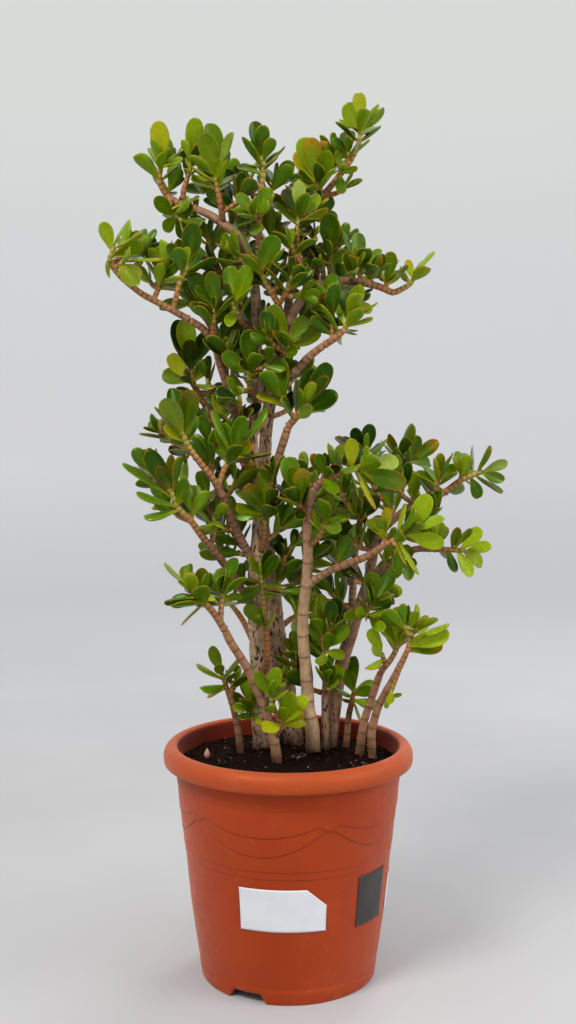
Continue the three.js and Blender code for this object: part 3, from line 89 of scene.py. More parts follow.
# Across, up, back and radius of each point of a limb. A stem's first limb stands in the soil.
STEMS = {
    "trunk_left": [
        "-3.3,27,3.5,1.3 -3.5,33,3.5,1.22 -3.7,41,3,1.3 -3.8,48,2.4,1.42 -3.75,54,1.8,1.26 -3.4,60,1.2,1 "
        "-3.1,66,.6,.82 -2.7,71,.2,.78 -1.9,76,0,.8 -1.1,80,0,.7 0,83.5,-.3,.62 1.2,86,-.5,.55 "
        "3.2,88.3,-.3,.5 6,89,.3,.45 8,89,.7,.4",
        "-1.7,76.6,0,.5 .5,77.3,-1.5,.45 2.5,79.4,-3,.4 4.6,81,-3.8,.35",
        "-.3,82.6,-.2,.5 .2,88,3,.45 .6,93,4.5,.42 1.8,96.8,4.5,.4 3,98.5,4.2,.38",
        "-3.8,52,1.9,.5 -5.2,54.6,.5,.45 -6.8,57.8,-1.5,.42 -8.4,61.9,-3.7,.4",
        "-4,46.5,2.5,.52 -6,49.8,0,.46 -8.3,53.2,-2.5,.43 -9.4,54.6,-3.7,.4",
        "-3.4,59.5,1.2,.46 -1.8,65,-.9,.45 -.6,68.8,-1.4,.43 0,70.7,-1.6,.38",
    ],
    "trunk_back": [
        "1,27.8,6.6,1.3 0,35,6.4,1.32 -1.1,40,6,1.38 -1.85,45,5.6,1.4 -2.5,52,5,1.24 -3.4,58,4.4,1.02 "
        "-4.2,64,3.8,.8 -4.6,70,3,.7 -3.9,74.5,2.4,.66 -4,82,1.6,.65 -4.3,89,1,.6 -5.8,94,.6,.55 "
        "-9.5,97,.5,.45 -12,98.1,.6,.38",
        "-4.2,63.4,3.9,.5 -5.8,68.5,2.5,.5 -7.2,74,1,.46 -8.6,78.5,0,.45 -9.3,81,-.5,.42 -10.8,83,-1,.36 "
        "-12.6,84.2,-1.5,.34",
        "-3.3,58.6,4.3,.5 -6.3,63.5,5,.46 -8.5,68.8,5,.45 -9.6,71.6,4.6,.42 -11,74.2,4,.36",
        "-4.3,88.6,1,.38 -3.9,91,-.3,.36 -3.7,93,-.9,.32",
    ],
    "stem_ringed": [
        "3.4,26.4,1.5,1 3.1,31,1.3,.95 2.6,34.5,.9,.86 2.3,39,.4,.8 1.9,43.5,-.3,.73 1.9,47,-1,.7 "
        "2.4,51,-2,.65 2.5,55,-3.4,.57 2.5,59,-5,.48 2.8,61.2,-6,.43 3.5,62.9,-6.6,.4",
        "2.4,50.4,-1.9,.4 5.5,52.3,-4.2,.38 9.5,53.8,-6.5,.34 11.6,55,-7.6,.3",
    ],
    "stem_right": [
        "5.3,27.4,5,1 5.7,33,4.8,.98 6.6,39,4.4,.93 8,43.8,3.8,.85 9.4,48.2,3.2,.77 10.4,51.4,2.6,.66 "
        "11.1,55.2,2,.53 12.4,57.8,1.5,.46 15,60,.7,.42 17.8,61.5,-.2,.38",
        "10.3,50.9,2.7,.4 12.7,53,.5,.36 16,54.9,-1.8,.32 18.6,55,-3,.28",
        "7.9,43.4,3.9,.42 8.3,50,7,.4 8.7,56,7.6,.38 9.7,60.6,8,.36",
    ],
    "stump": [
        "4.8,27,2.9,.52 4.8,37.2,2.9,.46",
    ],
    "stem_front_left": [
        "-1.2,25,-3.6,.65 -1.9,30.5,-3.9,.58 -3.1,34.5,-4.3,.5 -5.3,39.5,-5,.45 -7.4,42.9,-5.6,.42 "
        "-8.2,44.6,-5.9,.38",
    ],
    "stem_far_left": [
        "-6,26.4,1.5,.4 -6.6,32,.8,.34 -7.3,35,.2,.28",
    ],
    "stem_front_right": [
        "9,26.4,1.5,.55 9.7,32,1,.45 10.9,36,.4,.4 12,39.2,-.2,.35",
    ],
    "stem_edge_right": [
        "11,26,0,.5 10.8,31,-.6,.47 11.7,34.6,-1.3,.43 13.6,38.2,-2.3,.35 14.4,39.8,-2.8,.3",
    ],
    "stem_small_right": [
        "7.3,27.2,4.5,.36 7.8,33,4,.3 8.1,34.6,3.8,.26",
    ],
}

# Each spray: its name, the stem it grows on and its shoots. A shoot is a path, written as a limb is, whose
# radius tapers to the tip where none is given. Then come its leaves: how many there are in crossed pairs, or
# across and up of the place where each tip lines up from the eye, on the plane through the pot's axis. After
# a place, w is a leaf seen wide, t one seen thin, from its edge, and s a small one.
SPRAYS = [
    ("spray_right_arm", "trunk_left", [
        ("8,89,.7,.38 11.2,88.4,1.3 13.3,87.6,1.8 15.3,88.6,2 16.1,89.9,2",
         "14,93.1t 18.1,93.2t 15.4,92w 16.6,92t 17,90"),
        ("9,88.9,.9,.2 9.1,91,.7", "8.5,95w 9.7,92.3 8,95.5t"),
        ("10.1,88.8,1.1,.2 10.2,90.2,.7", "8.7,91.8 12,92.3w 10.5,92.6t 12.3,91"),
        ("12.3,88,1.5,.2 12.6,89.2,1.4", "13,92.6w 14.5,90.7t"),
    ]),
    ("spray_high_right", "trunk_left", [
        ("3,98.5,4.2,.36 4.5,99.8,4 7.5,103.5,3.5 8.8,106,3.2 9.1,108.6,3",
         "8.9,112.2w 7.2,111w 10.6,111.2t 11.5,111t 8,112t"),
        ("3.5,98.9,4.1,.22 3.7,100.5,3.5 3.4,102,3",
         "1.2,105.5w 1.5,106.7 2.9,106.6w 3.5,106t 4.8,106.3w 6,103.5 .3,101"),
        ("7.5,103.5,3.5,.2 7.6,105.2,2.8", "6,107.5w 6.8,108.3 7.5,108 8.6,105.8t"),
        ("6.3,102,3.7,.2 6.6,102.6,2.6", "8.5,102.2w 6.5,99.6w"),
        ("4.2,99.5,4.1,.24 3.9,101,6 3.6,102.5,7.6", 4),
    ]),
    ("spray_crown_front", "trunk_left", [
        ("-.2,83,-.3,.32 -1.4,86.3,-1.6 -2.8,88.7,-2.6 -3.7,90.6,-3.2",
         "-4,96.8w -3.3,94.7w -5.6,95.5t -.7,92.6 -5.8,91.7"),
    ]),
    ("spray_crown_pale", "trunk_left", [
        ("2.4,87.5,-.4,.28 1.4,91.5,-1.2 1.2,94.5,-1.4 1.4,97.4,-1.4",
         "1,101.3w 2.4,101.3w -.7,100.5 4.5,99.3t 2.8,94w 0,97.8 3.4,96"),
    ]),
    ("spray_arm_root", "trunk_left", [
        ("5.2,88.8,.1,.24 5.3,92.2,-.4", "4.5,97.3w 6.2,97.5w 7.2,95 3,97.2t 4.2,90.6"),
    ]),
    ("spray_heart", "trunk_left", [
        ("-1.2,79.4,0,.26 -.3,80.2,-1.8 0,81.2,-2.6", "-.7,86.3w -2.5,85.3w -2.2,82.5 2.3,84.5w 4,83w"),
    ]),
    ("spray_fork", "trunk_left", [
        ("4.6,81,-3.8,.33 6,81.9,-4.2 7.2,83,-4.6 7.7,84.6,-4.8",
         "9,88.5w 8.5,87 7,88w 10.7,87.2t 10.4,84.8t 8.3,82.2"),
        ("5.6,81.6,-4.1,.24 5.6,83.2,-4 5.5,84.6,-4", "4.6,87.6w 6,88 3.4,86.6t"),
    ]),
    ("spray_left_low_arm", "trunk_left", [
        ("-8.4,61.9,-3.7,.38 -9.5,63.8,-4.6 -11.2,66,-5.6 -12.8,68.3,-6.2 -13.7,70.4,-6.4",
         "-17.3,74.7w -15.5,75.3 -14.7,73.8w -13.3,75.7w -17.3,72.8 -16.3,71.3w -12,72 -15.3,69.4t "
         "-15.2,67.6t"),
        ("-9,62.9,-4.2,.24 -8,65.6,-3.6 -6.3,67.6,-3",
         "-8,73.2t -5.8,72.2w -8.5,71w -3,73.3t -4.3,68.3w -2.1,67.3t -8.8,67.5"),
    ]),
    ("spray_left_bottom_arm", "trunk_left", [
        ("-9.4,54.6,-3.7,.38 -11,56.6,-5 -12.6,58.8,-6 -14.2,60.4,-6.6 -15,62.6,-6.9",
         "-19.5,67.7t -19,68.6t -17.5,67.8w -16.3,65.8w -14.3,67.7 -13,66.3w -16.5,69t -19.2,62.6t "
         "-18.5,59.4t"),
        ("-12.5,58.6,-5.9,.22 -12.1,60.4,-5", "-11.8,63w -13.2,63 -9.4,61.2"),
        ("-9.9,55.2,-4.1,.22 -9.5,57.6,-3.4 -9.6,59.4,-3", "-10.8,64.4w -8.8,62.6 -8,58.6t"),
    ]),
    ("spray_trunk_face", "trunk_left", [
        ("-3.8,54,1.8,.3 -3.2,56,-.6 -3,58.5,-1.6 -3,61,-2",
         "-2.2,64.8w -2.8,65.8 -7,62.3 -4.8,65.5w -6.3,61 -7.4,58.2w"),
    ]),
    ("spray_orange_twig", "trunk_left", [
        ("-4,37.5,3.2,.36 -2.7,40.5,1.2 -3,46,.3 -3.4,50,0 -3.6,52,-.1",
         "-3.4,55.6w -5,56.2 -2.8,55.6 -1.3,54.4w -6.7,51.3t -.8,50.8t -6.8,48.6w -3,48.4w -.5,49.2"),
        ("-2.9,44.5,.5,.2 -3.3,45.3,-.4", "-4.6,46.6s"),
    ]),
    ("spray_middle", "trunk_left", [
        ("0,70.7,-1.6,.34 1.3,72.2,-2.2 2.1,73.4,-2.6",
         "4.5,79w 2.8,78 .7,76.6 5,77 6.8,76.5t 5.9,75.3w 4.7,72.8w"),
        (".9,71.7,-2,.22 -.2,73,-2.4 -1,74.4,-2.6", "-2.9,77.2 -.4,78w"),
    ]),
    ("spray_trunk_foot", "trunk_left", [
        ("-3.8,32.3,3.5,.26 -4.5,33.4,.8 -5,35,0", "-5.3,39w -7.8,36.9w -8.6,34.4t -6,33.4 -4,38.2 -3.2,33t"),
    ]),
    ("spray_back_crown_right", "trunk_left", [
        ("-1,80.3,0,.34 1,82,5 2,84,9 3,86.5,11", 7),
        ("1.3,82.6,6.2,.24 3.6,82.6,7.4 5.6,83.6,8", 4),
    ]),
    ("spray_back_arm", "trunk_left", [
        ("5.4,88.8,.2,.32 6.5,87.8,4.4 7,88,7.5 7.5,89.5,9.5", 7),
    ]),
    ("spray_back_low_left", "trunk_left", [
        ("-4,42,2.9,.34 -6,46,7 -8.6,49.4,9.6", 7),
    ]),
    ("spray_left_peak", "trunk_back", [
        ("-12,98.1,.6,.36 -13.6,98.6,.8 -15.2,99.6,.8 -16.2,101.5,.2 -15.8,103.9,0",
         "-16,108.6w -13.2,106.3w -17.8,105.8 -13.8,107.7t -17.9,104.4t"),
        ("-12.6,98.3,.7,.24 -13.2,100,.3 -12.6,102,.1 -12,104,-.1",
         "-13,109.1w -11.7,109 -10.4,105.4 -12.1,101.6w -10.8,100.3t"),
        ("-15.3,99.7,.8,.2 -14.9,100.6,2.4", "-14,103.7"),
        ("-14.9,99.3,.8,.22 -14.8,97.6,.1 -13.2,96.4,-.4",
         "-16.8,98.8 -11.6,98.2w -15.8,95w -11,96 -13,93.4"),
    ]),
    ("spray_peak", "trunk_back", [
        ("-8.2,96.1,.5,.3 -8.5,98.5,-.8 -9,101,-1.2 -9.1,102.9,-1.3",
         "-10.8,107.2w -9.7,108.6 -9,108 -7.7,107.5 -6.7,105w -6,102.8 -12,103t"),
        ("-8.4,97.8,-.4,.22 -8.8,99,3.4 -9.3,101.5,6", 7),
        ("-8.4,97.5,-.3,.2 -6.7,98.6,-.6 -5.9,99.7,-.8", "-5.8,102.4w -4.2,100.6 -7.4,101.4"),
    ]),
    ("spray_crown_top", "trunk_back", [
        ("-3.7,93,-.9,.3 -3.6,99,-1.2 -3.1,102.5,-1.4 -3.3,104.7,-1.5",
         "-4.6,108.5w -3.2,107.6 -5.2,106.4w -5.9,104t -1.8,105.6t -1.2,103.7"),
        ("-3.6,96,-1,.22 -4.4,97.2,-2.6", "-5.8,100.2w -1.6,98.6 -6.6,96.4 -2.4,100.6w -3.6,93.4"),
    ]),
    ("spray_back_crown", "trunk_back", [
        ("-4.3,87.4,1.1,.34 -5,90.5,6 -5.4,93,9 -5.8,95.5,11", 7),
        ("-4.8,89.4,4.2,.26 -7,89.6,4.6 -8.8,90.2,4.8", "-8.3,93.4w -7.3,94.2 -9.9,93.4 -11,90.6 -9.6,87.4"),
    ]),
    ("spray_left_arm", "trunk_back", [
        ("-12.6,84.2,-1.5,.32 -15.5,85.8,-2.2 -18.5,87.4,-2.8 -21,89.4,-3.2 -22.5,91.4,-3.4 -21.9,93.4,-3.5",
         "-22.6,96.8w -20.7,97t -19,96.4t -18.5,95.3 -17.9,93.8w -22.8,89.4t"),
        ("-21.8,90.7,-3.3,.2 -20.7,91.4,-4", "-17.3,91.3w -15.8,92.3t -18,88.6w -16.4,89.6"),
        ("-17,86.7,-2.5,.22 -16.3,88.3,-1.4 -15.5,90.1,-.8", "-13.8,91.3w -15.9,94.2w -14.9,94 -13.4,94t"),
        ("-14.5,85.4,-2,.24 -13.8,88.5,-3 -12.7,91.1,-3.4",
         "-12,94.6w -11.2,96w -14,95.3 -13.2,96t -9.8,93t"),
    ]),
    ("spray_left_arm_root", "trunk_back", [
        ("-9.2,80.8,-.4,.32 -9.5,83.5,-1.8 -9.2,85.8,-2.2",
         "-11,91w -12,90.2 -12,87.5w -13,86.4 -10.2,90.4 -9.4,90.2w"),
        ("-9.4,82.6,-1.4,.24 -11,85,3 -12.2,87,5.6", 4),
    ]),
    ("spray_left_inner", "trunk_back", [
        ("-4,82,1.6,.28 -6.2,84.3,-.8 -7.2,86.8,-1.6", "-7.3,91w -10.4,89.4t -5,91 -4.4,87.8 -7.8,83.2w"),
    ]),
    ("spray_left_mid", "trunk_back", [
        ("-11,74.2,4,.34 -12,76,3.6 -12.5,78.8,3.4", "-14.5,82.9w -14.8,83.8 -13,84.2w -12,84 -10.7,84w"),
        ("-11.7,75.3,3.8,.22 -12.6,76.6,2.4", "-14.8,80w -16,77.4 -9.4,77.6t -11.2,79.6w"),
        ("-11.5,74.9,3.8,.22 -10,74.9,2.8 -9.2,75,2.4", "-9.3,78.6w -6.6,75.6 -8.4,72"),
    ]),
    ("spray_trunk_fork", "trunk_back", [
        ("-4,73.6,2.5,.28 -4.9,75.5,-.9 -4.8,78,-2.2",
         "-5.3,82.9w -1.5,81t -8.5,79.7w -4.2,74.4w -7.4,75.8 -2.2,77.4"),
    ]),
    ("spray_back_left_high", "trunk_back", [
        ("-4,79,1.9,.34 -6.5,81.6,6.6 -8.3,84.4,9.6 -9.4,87,11.5", 7),
        ("-5.6,80.6,5,.24 -5.2,80.2,8.6 -5.6,81.6,11.4", 4),
    ]),
    ("spray_back_middle", "trunk_back", [
        ("-4.6,69,3.1,.36 -3.6,71,8 -3,73,12 -2.6,75.6,14", 7),
        ("-3.4,71.5,8.8,.24 -.4,72.6,10.4 1.4,74.6,11", 4),
    ]),
    ("spray_back_left", "trunk_back", [
        ("-3.9,62,4.1,.36 -5.6,65.6,9 -7.4,70,12 -8.4,73,13", 7),
    ]),
    ("spray_back_right_low", "trunk_back", [
        ("-2.2,52,5,.36 .2,55,9.4 2.2,57.6,12 3.2,60,13.4", 7),
    ]),
    ("spray_back_low", "trunk_back", [
        ("-1.4,44.6,5.6,.32 .4,46,9.6 2.4,47,12", 7),
    ]),
    ("spray_front_top", "stem_ringed", [
        ("3.5,62.9,-6.6,.38 4.6,63.9,-6.9 7,64.8,-7.5 9.8,65.8,-8",
         "8,69.3w 11.7,68.3w 12.5,69t 14.2,66.2w 15.2,64w 11.8,60.6t 9.3,62t"),
        ("5.9,64.4,-7.2,.2 6.2,65.6,-6.8", "5.3,68.6t 6.7,68.2w 8.4,67.2t"),
        ("4.4,63.7,-6.9,.2 4.6,65,-7.4", "2.6,67w 3.6,67.4w 5.8,62"),
    ]),
    ("spray_front_right", "stem_ringed", [
        ("11.6,55,-7.6,.28 14,56.4,-8.6 15.8,57.2,-9",
         "14.3,60.8t 17.3,52.2t 16.8,60.4w 19.2,61w 20,57w 19.9,59 18,55.2 15.5,53.2t"),
        ("12.2,55.4,-7.9,.2 12.5,57.2,-7.4", "11,58.6w 12.3,60.5w"),
        ("13.4,56.1,-8.3,.18 13.9,55.3,-9", "14.2,52w"),
    ]),
    ("spray_front_mid", "stem_ringed", [
        ("2.5,55.4,-3.5,.26 3.8,56.4,-5.2 4.9,59,-6.2", "5.4,62.2w 4,61.4 6.8,57.6w 7.8,61t 3,58.8t"),
    ]),
    ("spray_front_cluster", "stem_ringed", [
        ("2.5,58.4,-4.8,.26 1.6,60.5,-6.6 1,62.4,-7",
         ".2,65.6w 1.5,64.8w 2.5,66.4w -1,66.2w 0,66.8 -1.4,61.2 1.3,58.6w"),
    ]),
    ("spray_right_end", "stem_right", [
        ("17.8,61.5,-.2,.36 20,62.3,-.8 22,63.8,-1.4 24.9,65,-2",
         "27.8,66.4w 27.4,63.6w 24.7,61.6w 23.6,68 26.4,62 25.2,68.4t"),
        ("18.5,61.8,-.4,.2 19.3,64.5,-1.2", "19,67.4w 17.2,65.6 20.9,67.2 21.6,65.5w 20.2,61.8"),
        ("22,63.8,-1.4,.2 22.1,64.6,-.6", "22.4,67.2 23.6,63.4 21.4,61.4"),
    ]),
    ("spray_right_low", "stem_right", [
        ("18.6,55,-3,.26 21,54.9,-3.9 22.8,54.8,-4.3",
         "24.6,57.6w 26,55.3w 23.3,51.4w 21,52w 25,53 21.3,58w 22.5,58.2"),
        ("19.4,55,-3.3,.18 19.6,56,-3.8", "20.2,53.4"),
    ]),
    ("spray_right_back", "stem_right", [
        ("9.7,60.6,8,.34 12,64.2,8 13.3,65.8,8 14.3,67.5,8", "14.2,71w 12.9,70.8 15.5,71 12.2,68.8t"),
        ("12.6,64.9,8,.24 14.5,65.6,7.4 15.8,66.4,7", "16.6,69.4w 15.3,69.4 18.4,66 19.2,68.6w 17,63w"),
        ("10.6,62,8,.24 9,64.6,10.4 8.6,67.2,11.6", 7),
        ("11.2,62.9,8,.24 10.2,66,6.4 9.6,67.6,6", "5.8,69 8,70.4w 9.8,71.2w 10.9,71 12.4,67.4"),
    ]),
    ("spray_right_trunk", "stem_right", [
        ("8.9,46.6,3.4,.3 9.7,46.6,.2 11.4,48.6,-1", "13.2,50w 13.3,51.8 14.9,51.5t 11,52.4 9.4,50.4"),
        ("9.6,46.6,.6,.2 10.4,46.2,-1.6", "13,47.8t 12.3,44.6w 8.3,47.4w"),
    ]),
    ("spray_back_right", "stem_right", [
        ("8.3,50.4,7.1,.34 6.4,52,10 5.4,54.6,12", 7),
        ("7.4,51.2,8.4,.24 9.8,50.6,11 12,50.6,12.6", 7),
    ]),
    ("spray_stump", "stump", [
        ("4.8,37.2,2.9,.26 4.5,39.5,2.4 4.6,42.5,1.6", "7.4,41.4w 8,45w 2.6,45.6w 2.4,41.6"),
        ("4.6,42,1.7,.22 5.3,44.6,1", "5.5,48.6w 8.1,48.4w 4,49 3.1,48.4"),
    ]),
    ("spray_front_left", "stem_front_left", [
        ("-8.2,44.6,-5.9,.36 -9.8,47,-6.3 -11.4,48.6,-6.7 -12.3,49.5,-6.9",
         "-16,53.2t -13.8,53.6w -12.3,53.2w -11,54.5t -15.9,48.9t -14,45.6t -14.6,47.4"),
        ("-8.5,45,-6,.26 -8.6,48,-5 -8.3,50.2,-4.6",
         "-10.9,54.2t -10,54.6 -6.8,53.8w -11.6,51.4t -5,51.4 -6.1,48.6w"),
    ]),
    ("spray_front_foot", "stem_front_left", [
        ("-1.8,30.2,-3.9,.26 -1.1,32,-4.8 -1.8,34.2,-5 -2.3,36,-5.2",
         "-3.9,39.4w -2.6,40w -1.1,39.7t -.6,36.9"),
        ("-1.2,32,-4.8,.2 -.6,33,-5.2", "2.4,35.6w 2,32.9w 1.6,31.4 .6,36.7 -3.6,31.9"),
    ]),
    ("spray_far_left", "stem_far_left", [
        ("-7.3,35,.2,.26 -7.9,36.8,-.2 -8.6,38.9,-.6",
         "-9.9,42.3w -9.2,42.6w -11.6,40.4t -7.7,42t -6.3,39.4 -11,37.4t -10.6,35.6t"),
        ("-7.5,35.7,0,.2 -6.8,37.6,-1.2", "-7,41.6w -5,40"),
    ]),
    ("spray_low_right", "stem_front_right", [
        ("12,39.2,-.2,.32 13.3,40.8,-.6 14.3,42.8,-.8", "12.9,47.2w 14.5,47.4 12.2,45.4 16.2,45"),
        ("12.4,39.8,-.3,.22 12,41.6,-1.2", "11.1,44.8w 9.2,43.4t 9.8,40.4t 12.9,44.6w"),
    ]),
    ("spray_edge_right", "stem_edge_right", [
        ("14.4,39.8,-2.8,.28 15.4,42,-3.3 15.8,43.8,-3.5",
         "15.6,48w 17.4,48w 18.6,46.2 19.4,47t 20.2,45.6w 20,42.3w 18.4,43.6t"),
        ("12,35.2,-1.5,.18 13,35.6,-2.2", "14.6,36.4s"),
    ]),
    ("spray_small_right", "stem_small_right", [
        ("8.1,34.6,3.8,.24 8.6,37,3.2",
         "7.7,40.6w 8.6,41 10.4,40.4 11.9,37.8w 6,37.4t 11.2,35.6t 10,33.2t 6.6,34.4"),
    ]),
]

# ------------------------------------------------------------------ small tools

TWIG_TIP_RADIUS = 0.17
UP = np.array([0.0, 0.0, 1.0])
TO_EYE = np.array([0.0, -1.0, 0.0])


def seeded(seed):
    """Numbers from 0 to 1 that are the same each time for one seed."""
    states = 2 ** 32
    state = (seed * 7919 + 12345) % states

    def draw():
        nonlocal state
        state = (state * 1664525 + 1013904223) % states
        return state / states

    draw()
    draw()
    return draw


def unit(vector):
    size = float(np.linalg.norm(vector))
    return vector / size if size > 0 else vector


def turned(vector, axis, angle):
    """A vector turned round an axis."""
    cos, sin = math.cos(angle), math.sin(angle)
    return vector * cos + np.cross(axis, vector) * sin + axis * (np.dot(axis, vector) * (1 - cos))


def place(across, up, back):
    """A point of the layout at its real place."""
    reach = 1 + back / EYE_DISTANCE
    return np.array([across * reach, back, EYE_HEIGHT + (up - EYE_HEIGHT) * reach])


def lined_up(point):
    """Where a point lines up, from the eye, on the plane through the pot's axis."""
    reach = 1 + point[1] / EYE_DISTANCE
    return point[0] / reach, EYE_HEIGHT + (point[2] - EYE_HEIGHT) / reach


def read_path(text):
    """The points and radii of a path of the layout."""
    rows = [[float(v) for v in row.split(",")] for row in text.split(" ")]
    first, count = rows[0][3], len(rows)
    points = np.array([place(*row[:3]) for row in rows])
    radii = [
        row[3] if len(row) > 3 else first + (TWIG_TIP_RADIUS - first) * i / (count - 1)
        for i, row in enumerate(rows)
    ]
    return [points, np.array(radii)]


def stretch(path, start, end):
    """The stretch of a path between two distances from its start."""
    points, radii = path
    found, sizes, gone = [], [], 0.0
    for i in range(1, len(points)):
        length = float(np.linalg.norm(points[i] - points[i - 1]))
        low = max(0.0, (start - gone) / length)
        high = min(1.0, (end - gone) / length)
        if low < high:
            for share in ([low, high] if not found else [high]):
                found.append(points[i - 1] + (points[i] - points[i - 1]) * share)
                sizes.append(radii[i - 1] + (radii[i] - radii[i - 1]) * share)
        gone += length
    return [np.array(found), np.array(sizes)]


def point_at(path, at):
    return stretch(path, at - 0.001, at)[0][-1]


def path_length(path):
    return float(np.linalg.norm(np.diff(path[0], axis=0), axis=1).sum())


def axis_of(path):
    return unit(path[0][-1] - path[0][-2])


def gaps(points, a, b, radius_a, radius_b):
    """How far each point is from each tapered segment's skin, and the place on its axis."""
    run = b - a
    from_a = points[:, None] - a[None]
    share = np.clip((from_a * run).sum(2) / (run * run).sum(1), 0, 1)
    at = a[None] + run[None] * share[:, :, None]
    away = np.linalg.norm(points[:, None] - at, axis=2)
    return away - (radius_a + (radius_b - radius_a) * share), at


def nearest_on(point, path):
    """The place on a path's axis that is nearest to a point, and the gap to its skin."""
    points, radii = path
    gap, at = gaps(point[None], points[:-1], points[1:], radii[:-1], radii[1:])
    best = int(np.argmin(gap[0]))
    return at[0, best], float(gap[0, best])


# ------------------------------------------------------------------ where each leaf goes

LEAF_LENGTH = 4.4
LONGEST_LEAF = 6.2
WIDE_LEAF_LEAST = 3.3
LEAF_THICKNESS = 0.3
LEAF_BOW = 0.07
STUB = 0.25
CUT_STEP = 0.1
LOWEST_LEAF = 28.9
WIDEST_AT = 0.66
BLUNT_AT = 0.97
BLUNT_WIDTH = 0.5
ROOT_WIDTH = 0.05
WIDEST_LEAF = 2.9
NARROWEST_LEAF = 0.5

# The net of points and edges over a leaf's blade that is tested against the other leaves and the wood.
NET_ROWS = np.array([0.1, 0.3, 0.5, 0.7, 0.85, 0.98])
NET_SIDES = np.array([-0.9, 0.0, 0.9])
NET_LONG, NET_WIDE = len(NET_ROWS), len(NET_SIDES)
NET_SIZE = NET_LONG * NET_WIDE
NET_ALONG = np.repeat(NET_ROWS, NET_WIDE)
NET_SIDE = np.tile(NET_SIDES, NET_LONG)
NET_ACROSS = [NET_WIDE * i + k for i in range(NET_LONG) for k in range(NET_WIDE - 1)]
EDGE_FROM = np.array(NET_ACROSS + list(range(NET_SIZE - NET_WIDE)))
EDGE_TO = np.array([k + 1 for k in NET_ACROSS] + list(range(NET_WIDE, NET_SIZE)))

# How much of a leaf, from its root, may touch the leaves of its own spray and its own twig.
ROOT_FREE = 0.08
TWIG_FREE = 0.45

# The room round a leaf: to its own spray's leaves, to other leaves, to other wood and to its own twig.
ROOMY = {"own": 0.06, "other": 0.14, "wood": 0.3, "twig": 0.1}
SNUG = {"own": 0.05, "other": 0.07, "wood": 0.1, "twig": 0.03}


def share_of_width(along):
    """A leaf's width at a share of its length, as a share of its greatest width."""
    rising = ROOT_WIDTH + (1 - ROOT_WIDTH) * (along / WIDEST_AT)
    past = (along - WIDEST_AT) / (BLUNT_AT - WIDEST_AT)
    return np.where(past < 0, rising, 1 - (1 - BLUNT_WIDTH) * past)


def leaf_points(leaf, along, side, lift):
    """Points of a bowed leaf, by share of its length and by distance to the side and off its face."""
    bow = LEAF_BOW * leaf["length"] * along * along
    return (leaf["root"] + np.multiply.outer(along * leaf["length"], leaf["ahead"])
            + np.multiply.outer(side, leaf["side"]) + np.multiply.outer(bow + lift, leaf["face"]))


def make_leaf(spray, root, tip, facing, width_share):
    """A leaf's place, directions and sizes, with the net that is tested."""
    ahead = tip - root
    length = float(np.linalg.norm(ahead))
    ahead = unit(ahead)
    face = unit(facing - ahead * np.dot(facing, ahead))
    leaf = {"spray": spray, "root": root, "ahead": ahead, "face": face, "length": length,
            "side": unit(np.cross(face, ahead)),
            "width": min(WIDEST_LEAF, max(NARROWEST_LEAF, width_share * length)),
            "thick": min(1.0, 0.4 + length / 7)}
    leaf["middle"] = leaf_points(leaf, np.array([0.5]), np.array([0.0]), np.array([0.0]))[0]
    wide = NET_SIDE * share_of_width(NET_ALONG) * leaf["width"] / 2
    leaf["net"] = leaf_points(leaf, NET_ALONG, wide, -0.4 * LEAF_THICKNESS * (1 - np.abs(NET_SIDE)))
    return leaf


def pierced(nets, blades, clearance, free):
    """Which of the nets come within the clearance of the blade that goes with each."""
    root, ahead, side, face, length, width = (
        blades[k][:, None] for k in ("root", "ahead", "side", "face", "length", "width"))
    clearance, free = clearance[:, None], free[:, None]
    from_root = nets - root
    along = (from_root * ahead).sum(2) / length
    aside = (from_root * side).sum(2)
    lift = (from_root * face).sum(2) - LEAF_BOW * length * along * along
    low = -LEAF_THICKNESS - clearance
    lift_from, lift_to = lift[:, EDGE_FROM], lift[:, EDGE_TO]
    skipped = ((lift_from > clearance) & (lift_to > clearance)) | ((lift_from < low) & (lift_to < low))
    drop = lift_from - lift_to
    flat = np.abs(drop) < 1e-9
    middle = np.where(flat, 0.5, (lift_from + LEAF_THICKNESS / 2) / np.where(flat, 1.0, drop))
    found = np.zeros(len(nets), bool)
    for t in (np.zeros_like(drop), np.ones_like(drop), np.clip(middle, 0, 1)):
        u = along[:, EDGE_FROM] + (along[:, EDGE_TO] - along[:, EDGE_FROM]) * t
        s = aside[:, EDGE_FROM] + (aside[:, EDGE_TO] - aside[:, EDGE_FROM]) * t
        z = lift_from + (lift_to - lift_from) * t
        half = share_of_width(np.minimum(1, u)) * width / 2
        hit = (z < clearance) & (z > low) & (u > free) & (u < 1 + clearance / length)
        found |= (hit & (np.abs(s) < half + clearance) & ~skipped).any(1)
    return found


MOST_LEAVES = 2400


